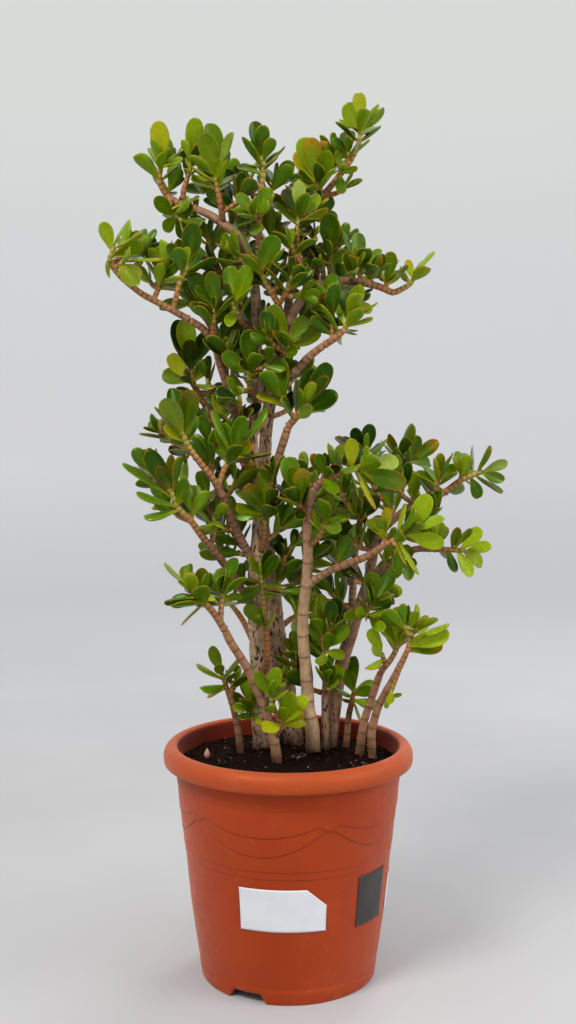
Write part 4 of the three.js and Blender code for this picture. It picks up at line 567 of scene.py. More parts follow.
class Crown:
    """The leaves that are there already and the wood, with a test whether a new leaf is clear."""

    FIELDS = {"root": 3, "ahead": 3, "side": 3, "face": 3, "middle": 3, "length": 0, "width": 0}

    def __init__(self, wood):
        self.leaves = []
        self.data = {k: np.zeros((MOST_LEAVES, n) if n else MOST_LEAVES) for k, n in self.FIELDS.items()}
        self.nets = np.zeros((MOST_LEAVES, NET_SIZE, 3))
        self.sprays = np.zeros(MOST_LEAVES, int)
        self.a = self.b = np.zeros((0, 3))
        self.radius_a = self.radius_b = np.zeros(0)
        self.owner = np.zeros(0, int)
        for path, owner in wood:
            self.grow(path, owner)

    def grow(self, path, owner):
        """One more limb or shoot among the wood. The owner is a spray's number, or -1 for a stem."""
        self.a = np.concatenate([self.a, path[0][:-1]])
        self.b = np.concatenate([self.b, path[0][1:]])
        self.radius_a = np.concatenate([self.radius_a, path[1][:-1]])
        self.radius_b = np.concatenate([self.radius_b, path[1][1:]])
        self.owner = np.concatenate([self.owner, [owner] * (len(path[0]) - 1)])

    def add(self, leaf):
        i = len(self.leaves)
        for k in self.FIELDS:
            self.data[k][i] = leaf[k]
        self.nets[i] = leaf["net"]
        self.sprays[i] = leaf["spray"]
        self.leaves.append(leaf)

    def fits(self, leaf, room):
        """Whether a leaf is clear of the soil, of the other leaves and of the wood."""
        count = len(self.leaves)
        if (leaf["net"][:, 2] <= LOWEST_LEAF).any():
            return False
        away = np.linalg.norm(self.data["middle"][:count] - leaf["middle"], axis=1)
        near = np.nonzero(away <= (leaf["length"] + self.data["length"][:count]) / 2 + 1)[0]
        if len(near):
            own = self.sprays[near] == leaf["spray"]
            clearance = np.where(own, room["own"], room["other"])
            free = np.where(own, ROOT_FREE, 0.0)
            theirs = {k: self.data[k][near] for k in self.FIELDS}
            mine = {k: np.broadcast_to(leaf[k], theirs[k].shape) for k in self.FIELDS}
            my_net = np.broadcast_to(leaf["net"], (len(near), NET_SIZE, 3))
            if pierced(my_net, theirs, clearance, free).any():
                return False
            if pierced(self.nets[near], mine, clearance, free).any():
                return False
        gap, _ = gaps(leaf["net"], self.a, self.b, self.radius_a, self.radius_b)
        own = self.owner == leaf["spray"]
        if (gap[:, ~own] < room["wood"]).any():
            return False
        return not (gap[NET_ALONG >= TWIG_FREE][:, own] < room["twig"]).any()


# A leaf that isn't clear is bent at first, and after some tries also made shorter.
BENT_ONLY = 6
SHORTER_STEP = 0.045
FACING_BEND = 1.6


def placed_leaf(crown, spray, wish, draw, room=ROOMY, tries=14, bend_step=0.055):
    """The leaf as wished, or bent a little further each time until it is clear."""
    root, tip, facing, share = wish
    for tried in range(tries):
        bend = bend_step * tried
        shorter = 1 - SHORTER_STEP * max(0, tried - BENT_ONLY)
        axis = unit(np.array([draw() - 0.5, draw() - 0.5, draw() - 0.5]))
        run = turned(tip - root, axis, bend) * shorter
        leaf = make_leaf(spray, root, root + run, turned(facing, axis, bend * FACING_BEND), share)
        if crown.fits(leaf, room):
            return leaf
    return None


def read_tips(text):
    """Across, up and kind of each leaf's tip in a line of the layout."""
    tips = []
    for row in text.split(" "):
        kind = row[-1] if row[-1] in "wts" else ""
        across, up = row.rstrip("wts").split(",")
        tips.append((float(across), float(up), kind))
    return tips


TOP_LEVEL = 0.12
LEVEL_STEP = 0.34
ROOT_DEPTH = 0.03


def root_of(path, level, towards, lowest):
    """Where a leaf grows from its shoot: each level lower, and on the side it points to."""
    length = path_length(path)
    at = max(min(lowest, length * 0.9), length - TOP_LEVEL - LEVEL_STEP * level)
    point = point_at(path, at)
    axis = axis_of(path)
    out = towards - point
    out = unit(out - axis * np.dot(out, axis))
    return point - ROOT_DEPTH * out


def usual_width(draw):
    """A leaf's width as a share of its length."""
    return 0.47 + 0.1 * draw()


LEANING_FORWARD = 0.6


def listed_leaf(path, level, lowest, tip_row, draw):
    """A leaf whose tip is where it lines up from the eye. It leans as far as its length needs."""
    across, up, kind = tip_row
    flat = place(across, up, path[0][-1][1])
    root = root_of(path, level, flat, lowest)
    flat[1] = root[1]
    seen = float(np.linalg.norm(flat - root))
    usual = LEAF_LENGTH * (0.88 + 0.2 * draw())
    least = {"w": WIDE_LEAF_LEAST, "t": LEAF_LENGTH * 0.9, "s": 0.0, "": usual}[kind]
    length = min(LONGEST_LEAF, max(seen * 1.02, least))
    depth = math.sqrt(max(0.0, length * length - seen * seen)) * (-1 if draw() < LEANING_FORWARD else 1)
    tip = flat + np.array([0.0, depth, 0.0])
    ahead = unit(tip - root)
    axis = axis_of(path)
    upward = axis - ahead * np.dot(axis, ahead)
    upward[2] += 0.3
    if kind == "w":
        facing = TO_EYE + 0.35 * upward
    elif kind == "t":
        facing = np.cross(ahead, TO_EYE) * (1 if ahead[0] > 0 else -1)
    elif kind == "s":
        facing = TO_EYE + 0.8 * upward
    else:
        facing = upward + 0.5 * TO_EYE
    twist = (draw() - 0.5) * (0.9 if kind == "" else 0.45)
    return root, tip, turned(facing, ahead, twist), usual_width(draw)


def paired_leaf(path, k, count, lowest, draw):
    """A leaf of crossed pairs. The lowest pair opens widest and is the longest."""
    end = path[0][-1]
    axis = axis_of(path)
    aside = unit(np.cross(axis, np.array([0, 0.3, 1.0])))
    away = unit(np.cross(aside, axis))
    backward = away if away[1] > 0 else -away
    pair = k // 2
    around = math.pi * (pair * 0.5 + (k % 2) + 0.25) + (draw() - 0.5) * 0.5
    spread = 1.35 - 0.24 * pair
    length = LEAF_LENGTH * (1.06 - 0.11 * pair)
    outward = turned(backward, axis, around)
    ahead = axis * math.cos(spread) + outward * math.sin(spread)
    ahead[2] += 0.15
    root = root_of(path, count - 1 - k, end + ahead * LEAF_LENGTH, lowest)
    ahead = unit(ahead)
    tip = root + ahead * length * (0.92 + 0.16 * draw())
    facing = turned(axis - 0.2 * outward, ahead, (draw() - 0.5) * 0.7)
    return root, tip, facing, usual_width(draw)


def cut_of(path, limbs):
    """Where a spray begins: the first place on its path that is clear of its stem's limbs."""
    length = path_length(path)
    at = 0.4
    while at < length - CUT_STEP:
        point = point_at(path, at)
        if all(nearest_on(point, limb)[1] > STUB for limb in limbs):
            return at
        at += CUT_STEP
    return length / 2


def lowest_leaf(spray, i):
    """How far along its path the lowest leaf of a spray's shoot may be."""
    return spray["cut"] + 0.3 if i == 0 else 0.25


PAIRED_SEED = 40


def shoot_seed(spray, i):
    return 1000 * spray["number"] + 100 * i


def wishes_of(spray, i):
    """A shoot's leaves as the layout wishes them: a number for the seed, a rule, its facts and a tip."""
    path, ends, lowest = spray["paths"][i], spray["ends"][i], lowest_leaf(spray, i)
    if isinstance(ends, int):
        return [(PAIRED_SEED + k, paired_leaf, (k, ends, lowest), None) for k in range(ends)]
    axis, end = axis_of(path), path[0][-1]
    rows = sorted(read_tips(ends), key=lambda r: -np.dot(unit(place(r[0], r[1], end[1]) - end), axis))
    return [(k, listed_leaf, (k, lowest, row), row) for k, row in enumerate(rows)]


stems = {name: [read_path(text) for text in limbs] for name, limbs in STEMS.items()}
wood = [(limb, -1) for limbs in stems.values() for limb in limbs]
sprays = []
for number, (name, on, shoots) in enumerate(SPRAYS):
    paths = [read_path(text) for text, _ in shoots]
    cut = cut_of(paths[0], stems[on])
    first = stretch(paths[0], cut + 0.03, math.inf)
    for side in paths[1:]:
        side[0][0] = nearest_on(side[0][0], stretch(first, 0.2, math.inf))[0]
    wood += [(path, number) for path in paths]
    sprays.append({"name": name, "number": number, "paths": paths, "cut": cut,
                   "ends": [ends for _, ends in shoots]})

# The listed leaves are placed first, with the most room. Those that don't fit are tried again later.
crown = Crown(wood)
lost = []
for spray in sprays:
    for i, path in enumerate(spray["paths"]):
        for number, rule, facts, row in wishes_of(spray, i):
            seed = shoot_seed(spray, i) + number
            draw = seeded(seed)
            wish = rule(path, *facts, draw)
            leaf = placed_leaf(crown, spray["number"], wish, draw)
            if leaf:
                leaf["seen"] = row[:2] if row else None
                crown.add(leaf)
            elif row:
                lost.append((spray, wish, row, seed))

# ------------------------------------------------------------------ leaves that only the looks need

# Small young leaves, by spray and by which of its shoots they are on.
SMALL_LEAVES = {
    ("spray_right_arm", 3): "12,90s",
    ("spray_high_right", 1): "0,103.5s",
    ("spray_high_right", 2): "7,106.2s",
    ("spray_heart", 0): "1.5,81s",
    ("spray_left_low_arm", 1): "-4.3,69.5s",
    ("spray_left_bottom_arm", 0): "-16.5,61.3s -13.8,61.5s",
    ("spray_trunk_face", 0): "-5,60.3s",
    ("spray_orange_twig", 0): "-5.7,49.6s -2,47s",
    ("spray_middle", 1): "-1.2,79.3s",
    ("spray_left_peak", 1): "-13,104.3s",
    ("spray_left_peak", 2): "-12.9,101.6s -16.6,101.2s",
    ("spray_peak", 0): "-10.6,101.2s",
    ("spray_front_right", 1): "13.6,59s",
    ("spray_right_low", 1): "18.8,58.4s 19.9,58.2s",
    ("spray_front_left", 0): "-9.4,48.4s",
    ("spray_edge_right", 1): "14.4,34.2s",
}
LOOSE_SEED = 50000
SMALL_SEED = 70000
ROSETTE_SEED = 90000
SPROUT_SEED = 150000

# Short shoots inside the crown: across, up and back of each end, and how many levels of leaves it carries
# if not five. Each grows from the wood nearest to it.
SHORT_SHOOTS = (
    "-1.6,101.6,2 0,98.2,4 -1.4,95.3,1 .2,93.8,-3 -1.8,91.5,-2 .5,89.7,-5 -1.2,87.5,4 1.5,87.2,-4 "
    "2.5,92.5,1 4.3,91,-1 5.7,86.6,-2 6.6,93.8,4 8.2,86.3,2 3.4,88.6,5 -14.1,103.9,2 -20.5,93.2,1 "
    "-18.2,92.8,3 -14.1,91.6,1 -10.3,94.8,4 -6.2,75.3,-1 -5.9,71.6,0 -7.2,77,2 -10.3,67.3,1 -10.3,76.9,2 "
    "-2.6,81.9,-3 -2.6,78.8,-2 1.2,77.1,2 0,62,-1 -.3,58.7,0 1.5,63.5,3 7.3,61,2 9,59.4,-1 7.3,56.5,0 "
    "9.9,55.9,4 6.6,54,-3 13,60.6,3 15.9,60.4,1 17.9,56.5,-2 15.6,53.4,-3 12.4,53,1 -9.4,58.5,1 "
    "-7.2,57.3,3 -6.4,54.5,1 -8.5,55,4 0,52,2 -.7,49.5,1 1.2,51,4 5.3,49.7,2 6.6,46.9,1 4.3,44.5,1 "
    "-12.6,49.6,-5 -10.4,50.6,-5 16.8,45,0 14.9,45.3,-3 -16.4,70,2 -17.2,64.6,4 -5.2,96.5,3 -4.4,99.5,0 "
    "-7,92.4,-1 -8.4,81.7,2 -4.8,84.2,3 2,84.5,1 -11.6,86.5,1 -9.4,88.6,3 -6.8,87.6,-1 -15.2,103.6,1 "
    "-4.9,101.3,3 -7.8,98.2,3 -4.9,91.8,3 -1.2,88.5,-2 -2.9,84,-1 3.6,91.8,3 6.1,93.6,0 -.4,54.1,1 "
    "-10.4,60.3,3 -8.7,64,2 -6.2,74.5,-3 7.7,61,4 16.3,60.3,2 13.3,55.2,1 6.5,48.4,3 7.3,44.8,2 "
    "19,58.2,-1 -16.4,69.8,3 -5.8,51,1 17.5,43.2,0 5,38,.6 .7,38.5,3.4 .9,42,3 -19.2,90.4,-2 -17.6,89.2,1 "
    "-13,97,3 -11.4,92,4 -3,97.6,-3 3.2,98.2,2 8.6,90.8,-2 11.2,89.9,3 -9.6,84.8,3 -1.4,78.6,3 "
    "-4.6,68.4,3 -2.2,64.6,-4 3.6,62.4,-4 10.6,63.6,2 4.4,57.4,2 8.8,51.4,2 10.4,47.4,2 3.4,54.4,3 "
    "-3.6,60.6,4 -13.4,66.2,0 -12.2,74.6,3 -15.4,60.8,-2 13.4,63.8,-4 18.2,62.8,0 -14.2,104.4,1.6 "
    "-12,98.6,1 5.4,104.8,4 7.2,100.6,3,2 0,95,1 3.5,94.6,2 -2.7,85.8,-1 -.4,91,-1 -6.4,79.8,1 "
    "-16,71.6,-2,2 -10.9,71,3 -17.8,65.4,-4 -9.5,66,-1 -10.5,62,-1 -6.6,64,0 2.1,64.6,-3 6.3,63,-2 "
    "15.8,61.6,-1 18.2,59.6,-3 .5,55.6,1 -13,51,-4 -5.8,52.2,2 12.4,53.4,0 15,54.4,-3 16,53,-4,2 "
    "15.8,45,-3,2 -7.8,38.2,-.6 5.4,39.4,2 4.3,48.6,3 -3.2,90,2 -5.6,86,0 1.8,82.8,3 -7.6,80.4,-2 "
    "-5,66.4,1 1.6,60.4,2 5.6,58.6,4 9.2,57,2 -8.2,69.6,0"
)
SHOOT_RADII = np.array([0.23, 0.2, 0.17])

# How far each level of leaves is below a shoot's end, how wide it opens and how long its leaves are.
LEVELS = [(0.03, 0.2, 1.5), (0.36, 0.5, 2.8), (0.85, 0.78, 3.6), (1.5, 1.0, 4.1), (2.4, 1.16, 4.1)]


def extra_leaf(spray, wish, draw, seen=None, tries=20, bend_step=0.07):
    """A leaf that may stand closer to the others than the first ones do, if it fits."""
    leaf = placed_leaf(crown, spray["number"], wish, draw, SNUG, tries, bend_step)
    if leaf:
        leaf["seen"] = seen
        crown.add(leaf)


def rosette(spray, path, seed, lowest, levels):
    """Crossed pairs of leaves that stand close together at a shoot's end and open wider below it."""
    axis, length = axis_of(path), path_length(path)
    aside = unit(np.cross(axis, np.array([0.3, 0.9, 0.4])))
    phase = seeded(seed)() * math.pi
    for level, (below, spread, size) in enumerate(LEVELS[:levels]):
        at = length - below
        if at < lowest:
            break
        for k in range(2):
            draw = seeded(seed + 10 * level + k + 1)
            outward = turned(aside, axis, phase + math.pi * (0.5 * level + k) + (draw() - 0.5) * 0.6)
            open_by = spread + (draw() - 0.5) * 0.3
            ahead = unit(axis * math.cos(open_by) + outward * math.sin(open_by) + UP * 0.3)
            if ahead[2] < -0.1 and draw() < 0.7:
                continue
            root = point_at(path, at) - outward * ROOT_DEPTH
            tip = root + ahead * size * (0.85 + 0.3 * draw())
            facing = turned(axis - outward * 0.25, ahead, (draw() - 0.5) * 1.1)
            extra_leaf(spray, (root, tip, facing, 0.46 + 0.13 * draw()), draw, None, 9, 0.09)


def nearest_wood(end):
    """The place on the wood from which a shoot would reach a point most directly, going up."""
    run = crown.b - crown.a
    share = np.clip(((end - crown.a) * run).sum(1) / (run * run).sum(1), 0.1, 0.9)
    at = crown.a + run * share[:, None]
    away = np.linalg.norm(end - at, axis=1)
    steep = (end[2] - at[:, 2]) / np.maximum(away, 0.1)
    score = away * (1 + 1.3 * np.clip(0.5 - steep, 0, 2)) + 3.0 * np.clip(1.4 - away, 0, 2)
    best = int(np.argmin(score))
    return at[best], int(crown.owner[best])


# How many levels of leaves a shoot carries besides its listed ones, where it isn't all of them.
SPARSE = {
    ("spray_right_arm", 0): 1, ("spray_far_left", 0): 1, ("spray_small_right", 0): 1,
    ("spray_edge_right", 0): 1, ("spray_edge_right", 1): 1, ("spray_left_arm", 0): 1,
    ("spray_right_end", 0): 1, ("spray_right_low", 0): 1, ("spray_left_bottom_arm", 0): 1,
    ("spray_low_right", 0): 1, ("spray_low_right", 1): 2, ("spray_left_mid", 1): 3,
    ("spray_left_low_arm", 0): 3,
}
SMALL_LEVEL = 3
for spray, wish, row, seed in lost:
    extra_leaf(spray, wish, seeded(LOOSE_SEED + seed), row[:2])
for spray in sprays:
    spray["more"] = []
    for i, path in enumerate(spray["paths"]):
        key, seed, lowest = (spray["name"], i), shoot_seed(spray, i), lowest_leaf(spray, i)
        small = read_tips(SMALL_LEAVES[key]) if key in SMALL_LEAVES else []
        for k, row in enumerate(small):
            draw = seeded(SMALL_SEED + seed + k)
            extra_leaf(spray, listed_leaf(path, SMALL_LEVEL + k, lowest, row, draw), draw, row[:2])
        rosette(spray, path, ROSETTE_SEED + seed, lowest, SPARSE.get(key, len(LEVELS)))
for number, text in enumerate(SHORT_SHOOTS.split(" ")):
    facts = [float(v) for v in text.split(",")]
    end = place(*facts[:3])
    start, owner = nearest_wood(end)
    if owner < 0:
        owner = min(sprays, key=lambda s: min(nearest_on(end, p)[1] for p in s["paths"]))["number"]
    bend = start + (end - start) * 0.55 - UP * 0.1 * np.linalg.norm(end - start)
    path = [np.array([start, bend, end]), SHOOT_RADII]
    crown.grow(path, owner)
    sprays[owner]["more"].append(path)
    levels = int(facts[3]) if len(facts) > 3 else len(LEVELS)
    rosette(sprays[owner], path, SPROUT_SEED + 100 * number, 0.5, levels)

# ------------------------------------------------------------------ meshes


def mesh_piece(name, points, faces, colours=None, vectors=None, *, material, slot, replaces=None):
    """A smooth piece, riding on the root body, from points in centimetres of the layout. What would reach
    past the model's box is held at its sides."""
    mesh = bpy.data.meshes.new(name)
    moved = np.asarray(points) * CM + np.array([AXIS_X, AXIS_Y, 0.0])
    moved = np.clip(moved, np.array(cad_low), np.array(cad_high))
    sizes = np.array([len(f) for f in faces], np.int32)
    corners = np.concatenate([np.asarray(f, np.int32) for f in faces])
    mesh.vertices.add(len(moved))
    mesh.vertices.foreach_set("co", moved.astype(np.float32).ravel())
    mesh.loops.add(len(corners))
    mesh.loops.foreach_set("vertex_index", corners)
    mesh.polygons.add(len(sizes))
    mesh.polygons.foreach_set("loop_start", np.concatenate([[0], np.cumsum(sizes)[:-1]]).astype(np.int32))
    mesh.polygons.foreach_set("loop_total", sizes)
    mesh.polygons.foreach_set("use_smooth", np.ones(len(sizes), bool))
    for key, values in (colours or {}).items():
        layer = mesh.attributes.new(key, "FLOAT_COLOR", "POINT")
        layer.data.foreach_set("color", np.asarray(values, np.float32).ravel())
    for key, values in (vectors or {}).items():
        layer = mesh.attributes.new(key, "FLOAT_VECTOR", "POINT")
        layer.data.foreach_set("vector", np.asarray(values, np.float32).ravel())
    mesh.update(calc_edges=True)
    mesh.validate()
    piece = bpy.data.objects.new(name, mesh)
    bpy.context.scene.collection.objects.link(piece)
    mesh.materials.append(material)
    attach(piece, "root")
    if replaces:
        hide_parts(*replaces)


def grid_faces(rows, sides, offset=0):
    """The quads of a closed tube of rows of points, sides round."""
    i, k = np.meshgrid(np.arange(rows - 1), np.arange(sides), indexing="ij")
    after = (k + 1) % sides
    here, above = i * sides, (i + 1) * sides
    quads = np.stack([here + k, here + after, above + after, above + k], axis=-1)
    return [tuple(q) for q in (quads.reshape(-1, 4) + offset)]


def joined(parts):
    """One piece of several: their points, their faces and any further values, put together."""
    faces, offset = [], 0
    for points, part_faces, *_ in parts:
        faces += [tuple(k + offset for k in face) for face in part_faces]
        offset += len(points)
    points, _, *values = zip(*parts)
    return (np.concatenate(points), faces, *(np.concatenate(value) for value in values))


def circle(radius, height, sides):
    """Points round the pot's axis, all at one height."""
    angles = [2 * math.pi * k / sides for k in range(sides)]
    return [(radius * math.cos(a), radius * math.sin(a), height) for a in angles]


# ------------------------------------------------------------------ materials


class Shader:
    """A procedural material that is put together node by node."""

    def __init__(self, name):
        self.material = bpy.data.materials.new(name)
        self.material.use_nodes = True
        self.tree = self.material.node_tree
        self.surface = self.tree.nodes["Principled BSDF"]

    def put(self, socket, value):
        """A link from another node's socket, or a fixed value or colour."""
        if isinstance(value, bpy.types.NodeSocket):
            self.tree.links.new(value, socket)
        elif isinstance(value, tuple) and len(value) == 3 and socket.type == "RGBA":
            socket.default_value = (*value, 1.0)
        else:
            socket.default_value = value

    def node(self, kind, inputs=(), **settings):
        """A new node with its settings and what goes into it."""
        made = self.tree.nodes.new(kind)
        for key, value in settings.items():
            setattr(made, key, value)
        for key, value in dict(inputs).items():
            self.put(made.inputs[key], value)
        return made

    def mix(self, share, a, b, blend="MIX"):
        """A colour between two, by share of the second."""
        made = self.node("ShaderNodeMix", data_type="RGBA", blend_type=blend, clamp_factor=True)
        self.put(made.inputs[0], share)
        self.put(made.inputs[6], a)
        self.put(made.inputs[7], b)
        return made.outputs[2]

    def math(self, operation, a, b=0.0, c=0.0):
        made = self.node("ShaderNodeMath", operation=operation)
        for socket, value in zip(made.inputs, (a, b, c)):
            self.put(socket, value)
        return made.outputs[0]

    def times(self, a, b):
        return self.math("MULTIPLY", a, b)

    def larger(self, a, b):
        return self.math("MAXIMUM", a, b)

    def between(self, value, low, high, to_low=0.0, to_high=1.0):
        """A value turned from one range to another, and held inside it."""
        made = self.node("ShaderNodeMapRange", {"Value": value, "From Min": low, "From Max": high,
                                                "To Min": to_low, "To Max": to_high})
        return made.outputs["Result"]

    def lit(self, colour, light):
        """A colour made lighter or darker by a value."""
        shade = self.node("ShaderNodeCombineColor", {"Red": light, "Green": light, "Blue": light})
        return self.mix(1.0, colour, shade.outputs[0], "MULTIPLY")

    def attribute(self, name):
        """The four values that each point of a mesh holds."""
        made = self.node("ShaderNodeAttribute", attribute_name=name)
        parts = self.node("ShaderNodeSeparateColor", {"Color": made.outputs["Color"]})
        return (*parts.outputs[:3], made.outputs["Alpha"])

    def vector(self, name):
        return self.node("ShaderNodeAttribute", attribute_name=name).outputs["Vector"]

    def place(self):
        return self.node("ShaderNodeTexCoord").outputs["Object"]

    def height(self):
        return self.node("ShaderNodeSeparateXYZ", {"Vector": self.place()}).outputs["Z"]

    def stretched(self, vector, scale):
        made = self.node("ShaderNodeMapping", {"Vector": vector})
        made.inputs["Scale"].default_value = scale
        return made.outputs["Vector"]

    def wandering(self, vector, scale, detail, reach):
        """Places pushed about by coloured noise."""
        colours = self.node("ShaderNodeTexNoise", {"Vector": vector, "Scale": scale, "Detail": detail})
        push = self.node("ShaderNodeVectorMath", {0: colours.outputs["Color"]}, operation="SCALE")
        push.inputs["Scale"].default_value = reach
        return self.node("ShaderNodeVectorMath", {0: vector, 1: push.outputs[0]}, operation="ADD").outputs[0]

    def noise(self, vector, scale, detail=2.0, roughness=0.5):
        made = self.node("ShaderNodeTexNoise", {"Vector": vector, "Scale": scale, "Detail": detail,
                                                "Roughness": roughness})
        return made.outputs["Fac"]

    def cells(self, vector, scale):
        made = self.node("ShaderNodeTexVoronoi", {"Vector": vector, "Scale": scale}, feature="F1")
        return made.outputs["Distance"]

    def bump(self, height, strength, distance):
        made = self.node("ShaderNodeBump", {"Height": height, "Strength": strength, "Distance": distance})
        return made.outputs["Normal"]

    def finish(self, colour, roughness, normal=None, **fixed):
        """The finished material. Other inputs of the surface are named with _ for each space."""
        self.put(self.surface.inputs["Base Color"], colour)
        self.put(self.surface.inputs["Roughness"], roughness)
        if normal is not None:
            self.put(self.surface.inputs["Normal"], normal)
        for key, value in fixed.items():
            self.surface.inputs[key.replace("_", " ")].default_value = value
        return self.material


def linear(red, green, blue):
    """A colour from its display values, 0 to 255."""
    shown = (red / 255, green / 255, blue / 255)
    return tuple(v / 12.92 if v <= 0.04045 else ((v + 0.055) / 1.055) ** 2.4 for v in shown)


def dimmed(colour, share):
    return tuple(share * v for v in colour)


LEAF_DARK = linear(7, 40, 1)
LEAF_MID = linear(70, 105, 3)
LEAF_LIGHT = linear(146, 166, 16)
LEAF_YELLOW = linear(166, 164, 18)
LEAF_PALE = linear(154, 172, 74)
LEAF_UNDER = linear(92, 126, 20)
LEAF_RED = linear(168, 58, 22)
LEAF_OCHRE = linear(170, 144, 34)
LEAF_ORANGE = linear(198, 116, 26)


def leaf_material():
    """Each leaf in its own green, with a paler rib and an ochre to red margin, most of all at its tip. Its
    green goes from dark to light by its tone, which also holds painted light and shade.
    """
    s = Shader("leaf")
    rim, along, upper, middle = s.attribute("leaf_form")
    tone, yellow, blush, pale = s.attribute("leaf_tint_and_shade")
    at = s.place()
    mottle = s.noise(at, 220.0, 3.0)
    # The tone carries painted light and shade as well as each leaf's own green.
    colour = s.mix(s.between(tone, 0.0, 0.5), LEAF_DARK, LEAF_MID)
    colour = s.mix(s.between(tone, 0.5, 1.0), colour, LEAF_LIGHT)
    colour = s.mix(yellow, colour, LEAF_YELLOW)
    colour = s.mix(pale, colour, LEAF_PALE)
    colour = s.mix(s.times(s.math("SUBTRACT", 1.0, upper), 0.3), colour, LEAF_UNDER)
    vein = s.times(s.between(middle, 0.0, 0.4, 0.42, 0.0), s.between(along, 0.2, 0.85, 1.0, 0.0))
    vein = s.larger(vein, s.between(along, 0.02, 0.42, 0.72, 0.0))
    colour = s.mix(s.times(vein, s.between(tone, 0.0, 0.6, 0.35, 1.0)), colour, LEAF_YELLOW)
    patchy = s.between(mottle, 0.3, 0.7, 0.55, 1.0)
    tip = s.times(s.between(along, 0.55, 1.1), s.between(blush, 0.35, 1.0, 0.0, 0.8))
    colour = s.mix(s.times(tip, patchy), colour, LEAF_ORANGE)
    edge = s.mix(s.between(blush, 0.02, 0.42), LEAF_OCHRE, LEAF_RED)
    strength = s.between(s.math("ADD", along, s.times(blush, 0.6)), 0.2, 1.1, 0.15, 0.95)
    colour = s.mix(s.times(s.math("POWER", rim, 1.3), strength), colour, edge)
    colour = s.lit(colour, s.between(mottle, 0.25, 0.75, 0.84, 1.12))
    roughness = s.between(s.noise(at, 90.0, 2.0), 0.3, 0.7, 0.2, 0.32)
    normal = s.bump(s.noise(at, 700.0, 2.0), 0.1, 0.0004)
    return s.finish(colour, roughness, normal, Specular_IOR_Level=0.36, Specular_Tint=(0.46, 0.86, 0.26, 1.0))


BARK_PINK = linear(150, 106, 76)
BARK_TAN = linear(176, 118, 62)
BARK_GREEN = linear(150, 156, 54)
BARK_RING = linear(74, 44, 28)
BARK_STAIN = linear(66, 34, 18)
BARK_SCAR = linear(214, 180, 146)
SOIL_LINE = 0.285
STAIN_REACH = 0.026

# The small dark slots of old bark: the scale of their cells and where a slot's edge starts and ends.
BARK_SLOTS = ((230.0, 0.2, 0.3), (150.0, 0.16, 0.23), (90.0, 0.08, 0.12))


def bark_wood(s, streak, patch, young, old, dark):
    """Streaked wood that turns from the old stem's colour to pink, tan and green where it is young."""
    colour = s.mix(s.between(streak, 0.3, 0.72), dark, old)
    colour = s.mix(s.between(patch, 0.42, 0.75, 0.0, 0.5), colour, tuple(min(1.0, 1.3 * v) for v in old))
    for low, high, shade in ((0.05, 0.35, BARK_PINK), (0.35, 0.62, BARK_TAN)):
        grained = s.mix(s.between(streak, 0.3, 0.7), dimmed(shade, 0.74), shade)
        colour = s.mix(s.between(young, low, high), colour, grained)
    return s.mix(s.between(young, 0.7, 1.0), colour, BARK_GREEN)


def bark_slots(s, at, patch, young, fissure, cracks):
    """Where the bark is open: in small slots on old wood, and in the long cracks of the mesh."""
    bent = s.stretched(s.wandering(at, 240.0, 3.0, 0.005), (1.0, 1.0, 0.34))
    slots = [s.between(s.cells(bent, scale), low, high, 1.0, 0.0) for scale, low, high in BARK_SLOTS]
    slot = s.larger(s.larger(slots[0], slots[1]), slots[2])
    slot = s.times(slot, s.between(patch, 0.3, 0.5, 0.25 * cracks, cracks))
    return s.larger(s.times(slot, s.between(young, 0.05, 0.22, 1.0, 0.0)), s.between(fissure, 0.2, 0.6))


def bark_material(name, old, dark, cracks, rings):
    """Bark with slots, scars and rings, and a stain where it stands in the soil."""
    s = Shader(name)
    ring, fissure, young, tone = s.attribute("bark")
    at = s.vector("bark_at")
    streak = s.noise(s.stretched(at, (1.0, 1.0, 0.2)), 480.0, 4.0, 0.6)
    patch = s.noise(at, 60.0, 3.0)
    colour = bark_wood(s, streak, patch, young, old, dark)
    slot = bark_slots(s, at, patch, young, fissure, cracks)
    colour = s.mix(s.times(slot, 0.95), colour, dimmed(dark, 0.1))
    colour = s.mix(s.times(ring, s.between(young, 0.05, 0.28, rings, 0.85)), colour, BARK_RING)
    scar = s.between(s.noise(s.stretched(at, (1.0, 1.0, 2.4)), 210.0, 2.0), 0.64, 0.72, 0.0, 0.6)
    colour = s.mix(s.times(scar, s.between(young, 0.02, 0.2)), colour, BARK_SCAR)
    damp = s.between(s.height(), SOIL_LINE, SOIL_LINE + STAIN_REACH, 1.0, 0.0)
    colour = s.mix(s.times(damp, s.between(patch, 0.3, 0.62, 0.55, 1.0)), colour, BARK_STAIN)
    colour = s.lit(colour, s.between(tone, 0.0, 1.0, 0.78, 1.18))
    relief = s.math("SUBTRACT", s.times(streak, 0.45), s.times(slot, 1.4))
    normal = s.bump(relief, 0.6, 0.0009)
    return s.finish(colour, s.between(young, 0.0, 1.0, 0.75, 0.5), normal, Specular_IOR_Level=0.3)


# ------------------------------------------------------------------ leaves

LEAF_STATIONS = np.array([0, 0.04, 0.11, 0.21, 0.33, 0.46, 0.58, 0.69, 0.79, 0.875, 0.94, 0.985])
LEAF_SIDES = 12
RIM_WIDTH = 0.1
SLIM = 0.9


